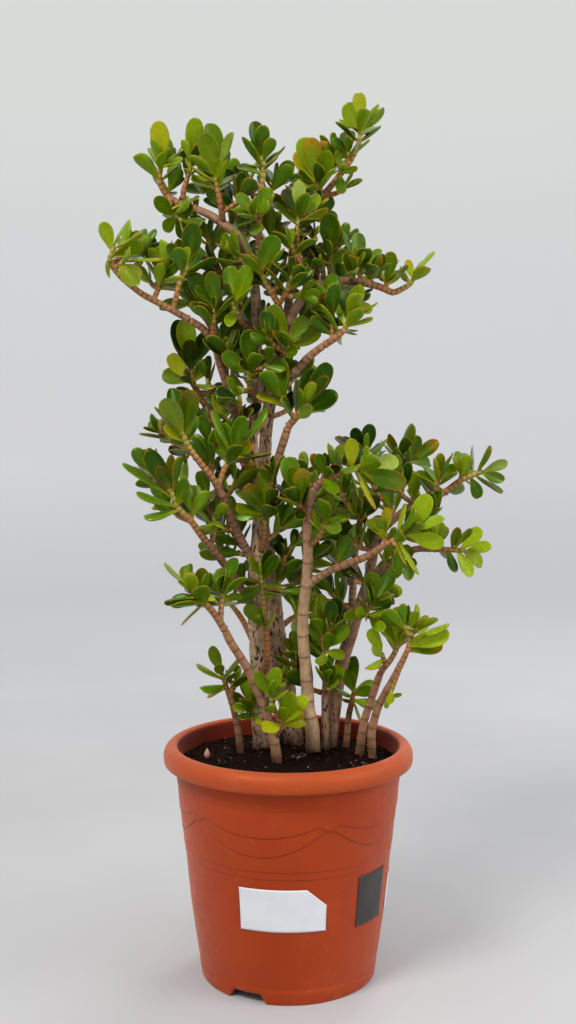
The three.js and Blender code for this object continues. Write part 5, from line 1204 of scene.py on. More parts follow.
def leaf_shape(leaf, draw):
    """The points of a thick obovate leaf with a round margin, with their form values."""
    u = LEAF_STATIONS[:, None]
    turn = 2 * np.pi * np.arange(LEAF_SIDES)[None] / LEAF_SIDES
    c, s = np.cos(turn), np.sin(turn)
    blunt = 1.95 + 0.4 * draw()
    peak = 0.62 + 0.08 * draw()
    rise = 0.13 + 0.87 * np.sin(0.5 * np.pi * np.clip(u / peak, 0, 1)) ** (1.45 + 0.3 * draw())
    fall = np.clip((u - peak) / (1 - peak), 0, 1)
    half = np.where(u < peak, rise, (1 - fall ** blunt) ** (1 / blunt)) * leaf["width"] * SLIM / 2
    thick = 1.15 * LEAF_THICKNESS * leaf["thick"] * (0.6 + 0.4 * np.sin(0.5 * np.pi * np.clip(u / 0.3, 0, 1)))
    thick = thick * (1 - 0.42 * u) * np.sqrt(1 - u ** 12)
    across = np.sign(c) * np.abs(c) ** 0.78
    x = half * across
    z = np.where(s > 0, 0.32 * np.abs(s) ** 0.85, -0.68 * np.abs(s) ** 0.9) * np.minimum(thick, half * 1.5)
    cup = 0.1 + 0.3 * draw()
    fold = 0.22 * draw() * np.clip(1.2 - u, 0, 1)
    z = z + half * (cup * across ** 2 + fold * (np.sqrt(across ** 2 + 0.03) - 0.17))
    twist = (draw() - 0.5) * 0.8 * u
    x, z = x * np.cos(twist) - z * np.sin(twist), x * np.sin(twist) + z * np.cos(twist)
    sway = (draw() - 0.5) * 0.12 * leaf["length"]
    x = x + sway * u * u
    more_bow = (draw() - 0.45) * 0.16 * leaf["length"]
    z = z + more_bow * u * u
    along = np.broadcast_to(u, x.shape).ravel()
    points = leaf_points(leaf, along, x.ravel(), z.ravel())
    tip = leaf_points(leaf, np.array([1.0]), np.array([sway]), np.array([more_bow - 0.1 * LEAF_THICKNESS]))
    edge = np.minimum(half * (1 - np.abs(across)), (1 - u) * leaf["length"])
    rim = 1 - np.clip(edge / RIM_WIDTH, 0, 1)
    upper = np.broadcast_to(np.clip(0.5 + 1.5 * s, 0, 1), x.shape)
    middle = np.broadcast_to(np.abs(across), x.shape)
    form = np.stack([rim.ravel(), along, upper.ravel(), middle.ravel()], axis=1)
    return np.concatenate([points, tip]), np.concatenate([form, [[1, 1, 0.5, 1]]])


LEAF_FACES = grid_faces(len(LEAF_STATIONS), LEAF_SIDES)
LEAF_LAST = (len(LEAF_STATIONS) - 1) * LEAF_SIDES
LEAF_TIP = LEAF_LAST + LEAF_SIDES
LEAF_FACES += [(LEAF_LAST + k, LEAF_LAST + (k + 1) % LEAF_SIDES, LEAF_TIP) for k in range(LEAF_SIDES)]
LEAF_FACES += [tuple(range(LEAF_SIDES - 1, -1, -1))]

# Leaves that stand out by their colour, by where their tips line up.
PALE_TIPS = "-17.3,91.3 1,101.3 11.7,68.3 14.2,66.2 27.4,66 24,56.4"
YELLOW_TIPS = (
    "-16,108.6 -11.5,103 -7.3,90 4.5,99.3 10.4,84.8 -14.6,79.8 -16.3,71.3 -4.2,75.4 4,60 14.3,60.5 "
    "17.3,52.2 8,69.3 11.8,60.6 19,66.8 -13.5,46.1 13.3,50.8 -3.2,31.8 -3.8,32.5 8.9,112.2"
)
BLUSHED_TIPS = (
    "-9.2,39.2 -7.4,38.2 -10.4,36 -15.8,92 -5,104 1.2,105.5 3.3,106 3,97.4 15.4,92 -4.5,68.5 -4.8,65.5 "
    "2.5,66.4 12.3,60.3 -10.6,50.5 -9.2,39.5 -8,40.6 9.5,33.2 10.5,41.2 20,42.7 1.4,32.8 -4.3,35.5 "
    "-8.3,34.5 19.3,68.2"
)
DARK_TIPS = (
    "-9,108 -11.4,96.2 4.5,97.3 2.8,94 7,88 -10.7,84 -9,73.5 4.5,79 -17.5,67.8 -9.8,61.5 -1,66.2 21,52.5 "
    "-7,40.8 -1.5,53 5.3,48 8.1,48.2 8,38.3 -2.6,38.7"
)
BRIGHT_TIPS = "-3.4,53 2,35"
HINT_REACH = 0.8


def hinted(leaf, text):
    """Whether a leaf is one of those whose tips a line of the layout names."""
    seen = leaf["seen"] or lined_up(leaf["root"] + leaf["ahead"] * leaf["length"])
    return any(math.hypot(seen[0] - a, seen[1] - b) < HINT_REACH for a, b, _ in read_tips(text))


def leaf_tint_and_shade(leaf, draw):
    """A leaf's tone, from dark to light, and how yellow, how blushed and how pale it is. Besides its random
    part, the tone holds painted light on leaves far out and low down, and painted shade on leaves in the
    crown's middle and on the unlisted leaves inside the crown.
    """
    out = math.hypot(leaf["root"][0], leaf["root"][1])
    up = leaf["root"][2]
    # Painted light on leaves far out from the stems and on low leaves, painted shade on leaves in the crown's
    # middle.
    tone = 0.02 + 0.72 * draw() + 0.24 * min(1.0, max(0.0, (out - 4) / 12))
    tone += 0.16 * min(1.0, max(0.0, (56 - up) / 12)) - 0.24 * math.exp(-((up - 71) / 13) ** 2)
    tone = max(0.0, tone)
    yellow = max(0.0, draw() - 0.75) * 1.3
    blush = max(0.0, draw() - 0.35) * 0.85
    pale = max(0.0, draw() - 0.88) * 1.8
    if leaf["length"] < 2.2:
        tone, yellow = tone + 0.2, yellow + 0.15
    # Unlisted leaves stand inside the crown: painted shade, and less blush.
    if not leaf["seen"]:
        tone, blush = tone - 0.08, blush * 0.7
    if hinted(leaf, PALE_TIPS):
        pale = 0.8
    if hinted(leaf, YELLOW_TIPS):
        yellow = 0.75
    if hinted(leaf, BLUSHED_TIPS):
        blush = 1.0
    if hinted(leaf, DARK_TIPS):
        tone, yellow, pale = 0.12, 0.0, 0.0
    if hinted(leaf, BRIGHT_TIPS):
        tone = 0.95
    return [min(1.0, tone), min(1.0, yellow), min(1.0, blush), min(1.0, pale)]


LEAF = leaf_material()
TINT_SEED = 300000
for spray in sprays:
    parts = []
    for i, leaf in enumerate(crown.leaves):
        if leaf["spray"] == spray["number"]:
            draw = seeded(TINT_SEED + i)
            shape, form = leaf_shape(leaf, draw)
            parts.append((shape, LEAF_FACES, form, np.tile(leaf_tint_and_shade(leaf, draw), (len(shape), 1))))
    points, faces, forms, tints_and_shade = joined(parts)
    name = spray["name"].replace("spray_", "leaves_")
    mesh_piece(name, points, faces, {"leaf_form": forms, "leaf_tint_and_shade": tints_and_shade},
               material=LEAF, slot="foliage", replaces=[spray["name"]])

# ------------------------------------------------------------------ stems and twigs


def smooth_path(path, step, tension=0.4):
    """Points on a curve through a path's points, about a step apart, with radii and distances."""
    points, radii = path
    before = np.concatenate([[2 * points[0] - points[1]], points, [2 * points[-1] - points[-2]]])
    found, sizes = [], []
    for i in range(len(points) - 1):
        a, b = points[i], points[i + 1]
        ta, tb = tension * (b - before[i]), tension * (before[i + 3] - a)
        count = max(2, int(round(np.linalg.norm(b - a) / step)))
        last = i == len(points) - 2
        t = (np.arange(count + 1 if last else count) / count)[:, None]
        curve = ((2 * t**3 - 3 * t**2 + 1) * a + (t**3 - 2 * t**2 + t) * ta
                 + (3 * t**2 - 2 * t**3) * b + (t**3 - t**2) * tb)
        found.append(curve)
        eased = t[:, 0] * t[:, 0] * (3 - 2 * t[:, 0])
        sizes.append(radii[i] + (radii[i + 1] - radii[i]) * (0.5 * t[:, 0] + 0.5 * eased))
    found, sizes = np.concatenate(found), np.concatenate(sizes)
    gone = np.concatenate([[0.0], np.cumsum(np.linalg.norm(np.diff(found, axis=0), axis=1))])
    return found, sizes, gone


def frames_along(points):
    """Two directions across a curve at each of its points, without twist."""
    ahead = np.gradient(points, axis=0)
    ahead /= np.linalg.norm(ahead, axis=1)[:, None]
    helper = np.array([1.0, 0, 0]) if abs(ahead[0][0]) < 0.8 else np.array([0, 1.0, 0])
    across = [unit(np.cross(helper, ahead[0]))]
    for direction in ahead[1:]:
        across.append(unit(across[-1] - direction * np.dot(across[-1], direction)))
    across = np.array(across)
    return across, np.cross(ahead, across)


def waves(rng, gone, turn, count, longest, shortest):
    """A smooth uneven field over a tube, about -1 to 1, from sums of waves."""
    field = np.zeros((len(gone), len(turn)))
    for _ in range(count):
        length = shortest + (longest - shortest) * rng.random()
        around = rng.integers(0, 4)
        phase, slant = rng.random() * 7, rng.random() * 7
        field += np.sin(2 * np.pi * gone[:, None] / length + phase) * np.cos(around * turn[None] + slant)
    return field / math.sqrt(count)


def ring_field(gone, rings, width):
    """How near each distance is to a ring, 1 on it, and the swelling just past it."""
    if not len(rings):
        return np.zeros_like(gone), np.zeros_like(gone)
    off = gone[:, None] - np.asarray(rings)[None]
    past = (off - 3 * width) / (4.5 * width)
    return np.exp(-(off / width) ** 2).max(1), np.exp(-past ** 2).max(1)


def long_cracks(rng, gone, turn, radii, count):
    """How deep each place of a tube lies in a crack, 0 to 1. Cracks run along it, a little aslant."""
    fissure = np.zeros((len(gone), len(turn)))
    for _ in range(count):
        at, where = rng.random() * gone[-1] * 0.8, rng.random() * 2 * np.pi
        length, wide = 0.25 + 0.55 * rng.random(), 0.07 + 0.05 * rng.random()
        slant = (rng.random() - 0.5) * 0.7
        near = np.nonzero(np.abs(gone - at) < length)[0]
        if not len(near):
            continue
        off = gone[near][:, None] - at
        side = (turn[None] - where + np.pi) % (2 * np.pi) - np.pi
        side = side * radii[near][:, None] - slant * off
        dent = np.clip(1 - (off / length) ** 2, 0, 1) * np.exp(-(side / wide) ** 2)
        fissure[near] = np.maximum(fissure[near], dent)
    return fissure


BARK_OVER_TWIG = 0.11
CRACK_DEPTH = 0.11


def bark_tube(path, sides, step, seed, rings, collar=0.0, lumps=0.03, cracks=0, young=(0.0, 0.0),
              swell=0.05, groove=0.02):
    """A limb with rings, lumps, a collar at its start, cracks and a domed end, as points and faces with
    their bark values and their places on the bark's unrolled skin."""
    rng = np.random.default_rng(seed)
    points, radii, gone = smooth_path(path, step)
    radii = radii + BARK_OVER_TWIG * np.clip((0.75 - radii) / 0.45, 0, 1)
    across, other = frames_along(points)
    turn = 2 * np.pi * np.arange(sides) / sides
    ring, past = ring_field(gone, rings, max(0.05, step * 0.7))
    field = waves(rng, gone, turn, 7, 9.0, 2.0)
    size = radii[:, None] * (1 + lumps * field) * (1 + swell * past[:, None]) - groove * ring[:, None]
    if collar:
        size = size + collar * np.exp(-np.maximum(0, gone - collar * 1.6) / (0.9 * collar + 0.1))[:, None]
    fissure = long_cracks(rng, gone, turn, radii, cracks)
    size = size - CRACK_DEPTH * fissure
    closing = np.clip((gone[-1] - gone) / (0.8 * radii[-1]), 0, 1)
    size = size * np.sqrt(1 - (1 - closing) ** 2 * 0.9)[:, None]
    skin = (points[:, None] + across[:, None] * (np.cos(turn)[None, :, None] * size[..., None])
            + other[:, None] * (np.sin(turn)[None, :, None] * size[..., None]))
    rows = len(points)
    faces = grid_faces(rows, sides)
    faces += [tuple(range(sides - 1, -1, -1)), tuple((rows - 1) * sides + k for k in range(sides))]
    youth = young[0] + (young[1] - young[0]) * (gone / gone[-1])
    tone = 0.5 + 0.3 * waves(rng, gone, turn, 6, 6.0, 0.8)
    values = np.stack([np.broadcast_to(ring[:, None], size.shape), fissure,
                       np.broadcast_to(youth[:, None], size.shape), np.clip(tone, 0, 1)], axis=-1)
    unrolled = np.stack([np.cos(turn)[None] * radii[:, None] * CM, np.sin(turn)[None] * radii[:, None] * CM,
                         np.broadcast_to((gone[:, None] + seed % 97) * CM, size.shape)], axis=-1)
    return skin.reshape(-1, 3), faces, values.reshape(-1, 4), unrolled.reshape(-1, 3)


def bark_piece(name, tubes, material, replaces):
    points, faces, values, unrolled = joined(tubes)
    mesh_piece(name, points, faces, {"bark": values}, {"bark_at": unrolled},
               material=material, slot="bark", replaces=replaces)


def ring_places(length, first, spacing, rng):
    """Distances along a limb, a little unevenly apart."""
    places, at = [], first
    while at < length - 0.2:
        places.append(at)
        at += spacing * (0.75 + 0.5 * rng.random())
    return places


BARK_GREY = bark_material("bark_grey", linear(226, 190, 154), linear(170, 134, 102), 1.1, 0.2)
BARK_PALE = bark_material("bark_pale", linear(200, 166, 128), linear(154, 120, 86), 0.0, 0.75)
BARK_BROWN = bark_material("bark_brown", linear(204, 162, 130), linear(142, 104, 78), 0.85, 0.35)
BARK_THIN = bark_material("bark_thin", linear(188, 146, 106), linear(140, 102, 70), 0.1, 0.45)
BARK_DEAD = bark_material("bark_dead", linear(188, 150, 120), linear(112, 84, 62), 1.1, 0.3)

# The material, the ring spacing, the cracks and the youth at both ends of each stem's first limb.
STEM_LOOKS = {
    "trunk_left": (BARK_GREY, 3.2, 380, (0.0, 0.3)),
    "trunk_back": (BARK_GREY, 3.4, 340, (0.0, 0.3)),
    "stem_ringed": (BARK_PALE, 3.2, 0, (0.0, 0.25)),
    "stem_right": (BARK_BROWN, 3.0, 40, (0.0, 0.35)),
    "stump": (BARK_DEAD, 9.0, 30, (0.0, 0.0)),
    "stem_front_left": (BARK_THIN, 1.7, 0, (0.1, 0.45)),
    "stem_far_left": (BARK_THIN, 1.6, 0, (0.12, 0.45)),
    "stem_front_right": (BARK_THIN, 1.7, 0, (0.1, 0.4)),
    "stem_edge_right": (BARK_THIN, 1.7, 0, (0.1, 0.45)),
    "stem_small_right": (BARK_THIN, 1.6, 0, (0.1, 0.45)),
}
RINGED_HEIGHTS = [33.2, 35.3, 38, 41.1, 43.9, 46.7, 50.3, 53.4, 56.2, 58.6, 60.7]

# Limbs thicker than this have a finer mesh, and finer still where they have many cracks.
THICK_RADIUS = 0.9
MANY_CRACKS = 100


def ringed_places(limb):
    """Distances along the ringed stem at which its rings line up with the photo's."""
    smooth, _, gone = smooth_path(limb, 0.1)
    heights = np.array([lined_up(p)[1] for p in smooth])
    return [float(gone[np.argmin(np.abs(heights - h))]) for h in RINGED_HEIGHTS]


def first_limb(name, limb, seed, rng):
    """The limb that stands in the soil."""
    _, spacing, cracks, young = STEM_LOOKS[name]
    if name == "stem_ringed":
        rings = ringed_places(limb)
    else:
        rings = ring_places(path_length(limb), 1.2, spacing, rng)
    if limb[1][0] > THICK_RADIUS:
        sides = 54 if cracks > MANY_CRACKS else 32
        return bark_tube(limb, sides, 0.14, seed, rings, lumps=0.05, cracks=cracks, young=young)
    return bark_tube(limb, 14, 0.16, seed, rings, lumps=0.04, cracks=cracks, young=young)


def side_limb(limb, seed, rng):
    """A limb that grows from another, with a collar round its start."""
    rings = ring_places(path_length(limb), 0.5, 0.85, rng)
    return bark_tube(limb, 14, 0.16, seed, rings, collar=0.22, lumps=0.04, young=(0.2, 0.45))


for index, (name, limbs) in enumerate(stems.items()):
    tubes = []
    for k, limb in enumerate(limbs):
        rng = np.random.default_rng(40 + 10 * index + k)
        seed = 900 + 10 * index + k
        tubes.append(side_limb(limb, seed, rng) if k else first_limb(name, limb, seed, rng))
    bark_piece("bark_" + name.removeprefix("stem_"), tubes, STEM_LOOKS[name][0], [name])

TWIG_RING_STEP = 0.68
BARK_TWIG = bark_material("bark_twig", linear(176, 134, 96), linear(130, 92, 60), 0.1, 0.4)
for spray in sprays:
    tubes = []
    for i, path in enumerate(spray["paths"] + spray["more"]):
        length = path_length(path)
        rings = [length - TOP_LEVEL - TWIG_RING_STEP * k for k in range(int(length / TWIG_RING_STEP))]
        seed = 5000 + 10 * spray["number"] + i
        young = (0.34 if i == 0 else 0.5, 0.98)
        tubes.append(bark_tube(path, 10, 0.13, seed, rings, collar=0.08, lumps=0.05, young=young,
                               swell=0.08, groove=0.014))
    bark_piece(spray["name"].replace("spray_", "twigs_"), tubes, BARK_TWIG, [spray["name"]])

# ------------------------------------------------------------------ the pot

FOOT_RADIUS = 115
NECK_RADIUS = 145.6
NECK_HEIGHT = 276.0
WALL_CURVE = 0.62
WALL_THICKNESS = 6.6

# Below this height the wall runs straight to this radius at the foot, with its steps taken off.
LOW_WALL_HEIGHT = 90
LOW_WALL_RADIUS = 113

# The bottom plate, which the foot holds clear of the ground.
PLATE_BOTTOM = 12.0
PLATE_TOP = 15.0

# The notches in the foot: where they are, in degrees from the front, and half their width, foot and top.
NOTCH_HEIGHT = 12.0
NOTCH_TURNS = [-27.0, 153.0]
NOTCH_HALF = (13.2, 9.4)

# How far the wall steps out above each line round it, from the top line down. The faint line and the belts
# are level, and the two lines between them are the swags.
STEP_FAINT = 0.5
STEP_UPPER = 1.0
STEP_LOWER = 0.9
STEP_BELT = 0.6
ALL_STEPS = STEP_FAINT + STEP_UPPER + STEP_LOWER + 2 * STEP_BELT
FAINT_LINE = 252.0
BELTS = (164.5, 174.0)
SWAG_TURN = 72.0
FIRST_KNOT = 20.7

# The rolled rim, as radius and height, from the neck over the top to the inside.
RIM = [(149.0, 283.5), (153.0, 283.8), (156.0, 282.0), (157.2, 279.0), (157.6, 277.0), (158.3, 276.2),
       (159.4, 276.2), (160.2, 277.0), (160.7, 279.0), (161.0, 282.5), (161.0, 286.0), (160.5, 289.5),
       (159.3, 292.8), (157.3, 295.8), (154.6, 298.2), (151.6, 299.6), (148.8, 300.0), (146.3, 299.5),
       (144.4, 298.2), (143.3, 296.2), (142.8, 293.0)]


def body_radius(height):
    """The outer wall as a plain curve, from the foot to the neck."""
    share = np.clip((height - PLATE_BOTTOM) / (NECK_HEIGHT - PLATE_BOTTOM), 0, 1)
    return FOOT_RADIUS + (NECK_RADIUS - FOOT_RADIUS) * share ** WALL_CURVE


def wall_radius(height):
    """The outer wall's radius before its steps are taken off."""
    low = body_radius(LOW_WALL_HEIGHT) - ALL_STEPS
    below = LOW_WALL_RADIUS + (low - LOW_WALL_RADIUS) * np.clip(height / LOW_WALL_HEIGHT, 0, 1) + ALL_STEPS
    return np.where(height < LOW_WALL_HEIGHT, below, body_radius(height))


def swag_lines(turn):
    """The heights of a swag's two lines at a turn from the front, in degrees. They rise to each knot."""
    half = SWAG_TURN / 2
    off = abs((turn - FIRST_KNOT + half) % SWAG_TURN - half)
    share = (half - off) / (half - 4.0)
    lower = 192.5 + 29.0 * share * share
    upper = 217.0 + 15.0 * share * share
    if off < 3.6:
        lower = min(lower, 222.0 + 3.0 * (off / 3.6) ** 2)
    if off < 5.0:
        reach = max(0.0, (off - 2.6) / 2.4)
        upper = lower + 3.0 + (upper - lower - 3.0) * min(1.0, reach) ** 1.5
    return lower, max(upper, lower + 3.0)


def column_turns():
    """Where the pot's columns stand, with more of them at the edges of the notches."""
    turns = list(np.arange(400) * 0.9)
    for notch in NOTCH_TURNS:
        edges = [notch + side * half for side in (-1, 1) for half in NOTCH_HALF]
        turns += [(edge + shift) % 360 for edge in edges for shift in (-0.12, 0.12)]
    return np.array(sorted(set(round(t, 4) for t in turns)))


def notch_rise(turn):
    """How far the foot is raised by a notch at a turn."""
    off = min(abs((turn - t + 180) % 360 - 180) for t in NOTCH_TURNS)
    return NOTCH_HEIGHT * float(np.clip((NOTCH_HALF[0] - off) / (NOTCH_HALF[0] - NOTCH_HALF[1]), 0, 1))


def foot_rows(inset, rise):
    """The foot's skin, with a rounded bottom edge and a ledge where the wall begins."""
    rows = []
    for height in (0.0, 0.35, 1.0, 6.0, 12.0, 19.2, 20.0, 20.8):
        lip = {0.0: -0.7, 0.35: -0.2}.get(height, 0.0) + (0.5 if height < 20 else 0.0)
        raised = rise * (1 - min(height, 20.0) / 20.0)
        rows.append((float(wall_radius(height)) - inset + lip - 0.5, height + raised))
    return rows


def pot_column(turn):
    """The pot's skin at one turn, from the foot up the outside and down inside, as radius and height,
    with the row where the inside starts and the rows that lie in the creases below the steps."""
    lower, upper = swag_lines(turn)
    lines = [(BELTS[0], STEP_BELT), (BELTS[1], STEP_BELT), (lower, STEP_LOWER), (upper, STEP_UPPER),
             (FAINT_LINE, STEP_FAINT)]
    inset = sum(step for _, step in lines)
    rise = notch_rise(turn)
    rows, creases = foot_rows(inset, rise), []
    bottom = rows[-1][1]
    for number, (line, step) in enumerate(lines):
        count = {0: 12, 1: 2}.get(number, 8)
        for i in range(1, count):
            height = bottom + (line - 0.9 - bottom) * i / count
            rows.append((float(wall_radius(height)) - inset, height))
        for off, share in ((-0.9, 0.0), (-0.45, 0.0), (-0.1, 0.12), (0.15, 0.75), (0.5, 1.0), (1.0, 1.0)):
            if -0.5 < off < 0.0:
                creases.append(len(rows))
            rows.append((float(wall_radius(line + off)) - inset + step * share, line + off))
        inset -= step
        bottom = line + 1.0
    rows += [(float(wall_radius(height)), height) for height in (258.0, 264.0, 270.0, 276.0, 281.0)]
    rows += RIM
    rim_inside = len(rows)
    low_wall, high_wall = body_radius(80.0) - WALL_THICKNESS, body_radius(200.0) - WALL_THICKNESS
    for height in (284.0, 272.0, 262.0, 240.0, 200.0, 140.0, 80.0):
        rows.append((float(np.interp(height, [80.0, 200.0, 293.0], [low_wall, high_wall, 142.8])), height))
    rows += [(108.9, 18.0), (107.5, 15.6), (105.0, PLATE_TOP), (60.0, PLATE_TOP), (0.6, PLATE_TOP)]
    rows += [(0.6, PLATE_BOTTOM), (60.0, PLATE_BOTTOM), (104.0, PLATE_BOTTOM), (107.2, PLATE_BOTTOM - 0.2)]
    rows += [(108.3, 6.0 + rise / 2), (108.4, 0.6 + rise), (108.8, rise)]
    return rows, rim_inside, creases


# How dark the painted shade in the crease below each line is, from the lower belt up. A crease has two rows
# of points.
CREASE_SHADES = (0.4, 0.4, 1.0, 1.0, 0.12)


def pot_mesh():
    """The pot's points, faces and painted-shade values: how much painted shade a point gets inside the pot,
    and how much in the crease it lies in.
    """
    turns = column_turns()
    skins = [pot_column(float(turn)) for turn in turns]
    columns = [rows for rows, _, _ in skins]
    _, rim_inside, creases = skins[0]
    count, sides = len(columns[0]), len(turns)
    points, form = np.zeros((count, sides, 3)), np.zeros((count, sides, 4))
    for k, (turn, column) in enumerate(zip(turns, columns)):
        angle = math.radians(turn - 90)
        radii, heights = np.array(column).T
        points[:, k] = np.stack([radii * math.cos(angle), radii * math.sin(angle), heights], axis=1)
    faces, last = grid_faces(count, sides), (count - 1) * sides
    faces += [(last + k, last + (k + 1) % sides, (k + 1) % sides, k) for k in range(sides)]
    # Painted shade over the inner wall, from just above where the inside starts.
    form[rim_inside - 2:, :, 0] = 1.0
    # Painted shade in the creases below the steps.
    for number, row in enumerate(creases):
        form[row, :, 1] = CREASE_SHADES[number // 2]
    return points.reshape(-1, 3) * MM / CM, faces, {"pot_shade_masks": form.reshape(-1, 4)}


def pot_material():
    """Terracotta-coloured plastic, dusty and scuffed, with painted light on its rim, and painted shade inside
    and in the creases below its steps.
    """
    s = Shader("pot_plastic")
    at = s.place()
    cloud = s.noise(at, 7.0, 3.0)
    fine = s.noise(at, 420.0, 3.0)
    colour = s.mix(s.between(cloud, 0.35, 0.65), linear(153, 51, 16), linear(163, 58, 20))
    # Painted light: the rim, from just below the neck up, is painted a lighter orange than the body.
    colour = s.mix(s.between(s.height(), 0.27, 0.285), colour, linear(166, 68, 30))
    dust = s.times(s.between(s.noise(at, 26.0, 5.0, 0.7), 0.56, 0.78), s.between(fine, 0.35, 0.7))
    colour = s.mix(s.times(dust, 0.16), colour, linear(214, 150, 122))
    scuff = s.between(s.noise(s.stretched(at, (1.0, 1.0, 3.0)), 55.0, 6.0, 0.75), 0.66, 0.74)
    colour = s.mix(s.times(scuff, 0.2), colour, linear(226, 172, 146))
    inside, crease = s.attribute("pot_shade_masks")[:2]
    # Painted shade in the creases below the steps.
    colour = s.mix(s.times(crease, 0.8), colour, linear(78, 18, 6))
    # Painted shade inside the pot.
    colour = s.mix(inside, colour, linear(104, 24, 7))
    roughness = s.between(s.noise(at, 90.0, 4.0), 0.3, 0.7, 0.4, 0.56)
    normal = s.bump(fine, 0.1, 0.0004)
    return s.finish(colour, roughness, normal, Specular_IOR_Level=0.36, Specular_Tint=(1.0, 0.5, 0.3, 1.0),
                    Sheen_Weight=0.22, Sheen_Roughness=0.45, Sheen_Tint=(1.0, 0.52, 0.36, 1.0))


mesh_piece("pot_shell", *pot_mesh(), material=pot_material(), slot="pot", replaces=["pot"])

# ------------------------------------------------------------------ the soil

SOIL_EDGE = 27.5
SOIL_RISE = 0.8
SOIL_RADIUS = 14.1
SOIL_SIDES, SOIL_RINGS = 220, 62

# The soil's wall inside the pot, from the edge down, as radius and height.
SOIL_WALL = [(14.1, 26.9), (13.2, 20.0), (12.2, 8.0), (10.6, 1.6)]


def lumpy(x, y, scale, seed):
    """Smooth noise over the ground, about -1 to 1."""
    return noise.noise(Vector((x * scale + seed, y * scale - seed, seed * 0.37)))


def soil_height(x, y):
    """The soil's surface: a low mound with lumps of three sizes."""
    share = min(1.0, math.hypot(x, y) / SOIL_RADIUS)
    ground = SOIL_EDGE + SOIL_RISE * (1 - share * share)
    for size, scale, seed in ((0.16, 0.45, 3.1), (0.11, 1.5, 7.7), (0.08, 4.5, 1.3)):
        ground = ground + size * lumpy(x, y, scale, seed)
    return ground


def soil_mesh():
    """The bed's lumpy top as rings that close in on a last face, its wall and its flat bottom."""
    points, faces = [], []
    for ring in range(SOIL_RINGS):
        edge = circle(SOIL_RADIUS * (1 - ring / SOIL_RINGS), 0.0, SOIL_SIDES)
        points += [(x, y, soil_height(x, y)) for x, y, _ in edge]
    faces += grid_faces(SOIL_RINGS, SOIL_SIDES)
    faces.append(tuple((SOIL_RINGS - 1) * SOIL_SIDES + k for k in range(SOIL_SIDES)))
    starts = [0]
    for radius, height in SOIL_WALL:
        starts.append(len(points))
        points += circle(radius, height, SOIL_SIDES)
    for upper, lower in zip(starts, starts[1:]):
        for k in range(SOIL_SIDES):
            after = (k + 1) % SOIL_SIDES
            faces.append((upper + after, upper + k, lower + k, lower + after))
    faces.append(tuple(starts[-1] + k for k in range(SOIL_SIDES - 1, -1, -1)))
    return np.array(points), faces


def soil_material():
    """Dark crumbly potting mix with a few pale specks."""
    s = Shader("soil")
    at = s.place()
    grain = s.noise(at, 520.0, 5.0, 0.7)
    colour = s.mix(s.between(grain, 0.35, 0.7), linear(8, 3, 1), linear(34, 17, 9))
    specks = s.between(s.cells(at, 900.0), 0.0, 0.22, 1.0, 0.0)
    sparse = s.between(s.noise(at, 300.0, 1.0), 0.62, 0.7)
    colour = s.mix(s.times(specks, sparse), colour, linear(150, 126, 100))
    normal = s.bump(grain, 0.9, 0.0014)
    return s.finish(colour, 0.92, normal, Specular_IOR_Level=0.05)


SOIL = soil_material()
mesh_piece("soil_bed", *soil_mesh(), material=SOIL, slot="soil", replaces=["soil"])


def crumb_mesh(rng, at, size, flat=0.7):
    """A rough little lump: a stretched octahedron cut once more, with its corners pushed about."""
    corners = [sign * np.eye(3)[axis] for axis in range(3) for sign in (1.0, -1.0)]
    sides = [(0, 2, 4), (2, 1, 4), (1, 3, 4), (3, 0, 4), (2, 0, 5), (1, 2, 5), (3, 1, 5), (0, 3, 5)]
    middles, faces = {}, []

    def middle(a, b):
        key = (min(a, b), max(a, b))
        if key not in middles:
            middles[key] = len(corners)
            corners.append(unit(corners[a] + corners[b]))
        return middles[key]

    for a, b, c in sides:
        ab, bc, ca = middle(a, b), middle(b, c), middle(c, a)
        faces += [(a, ab, ca), (ab, b, bc), (ca, bc, c), (ab, bc, ca)]
    shape = np.array(corners) * (1 + 0.5 * (rng.random((len(corners), 1)) - 0.5))
    shape *= size * np.array([1.0, 0.6 + 0.4 * rng.random(), flat * (0.6 + 0.5 * rng.random())])
    spin = rng.random() * 7
    x, y, z = shape.T
    spun = [x * math.cos(spin) - y * math.sin(spin), x * math.sin(spin) + y * math.cos(spin), z]
    return np.stack(spun, axis=1) + at, faces


CRUMB_REACH = 13.9


def scattered(count, rng, smallest, largest, flat=0.7, near=None):
    """Lumps that lie on the soil, all over it or round some places."""
    lumps = []
    for i in range(count):
        radius, angle = CRUMB_REACH * math.sqrt(rng.random()), rng.random() * 7
        x, y = radius * math.cos(angle), radius * math.sin(angle)
        if near:
            at_x, at_y, ring = near[i % len(near)]
            away = ring + 0.7 * radius / CRUMB_REACH
            x, y = at_x + away * math.cos(angle), at_y + away * math.sin(angle)
        size = smallest + (largest - smallest) * rng.random() ** 2
        lumps.append(crumb_mesh(rng, np.array([x, y, soil_height(x, y) + 0.25 * size]), size, flat))
    return joined(lumps)


def plain_grain(name, dark, light):
    s = Shader(name)
    grain = s.noise(s.place(), 700.0, 4.0, 0.65)
    return s.finish(s.mix(s.between(grain, 0.3, 0.7), dark, light), 0.85, s.bump(grain, 0.6, 0.0008))


def foot_of(limbs):
    """Where a stem leaves the soil, across and back, and its radius there."""
    points, radii = limbs[0]
    foot = points[0] + (points[1] - points[0]) * 0.25
    return foot[0], foot[1], radii[0]


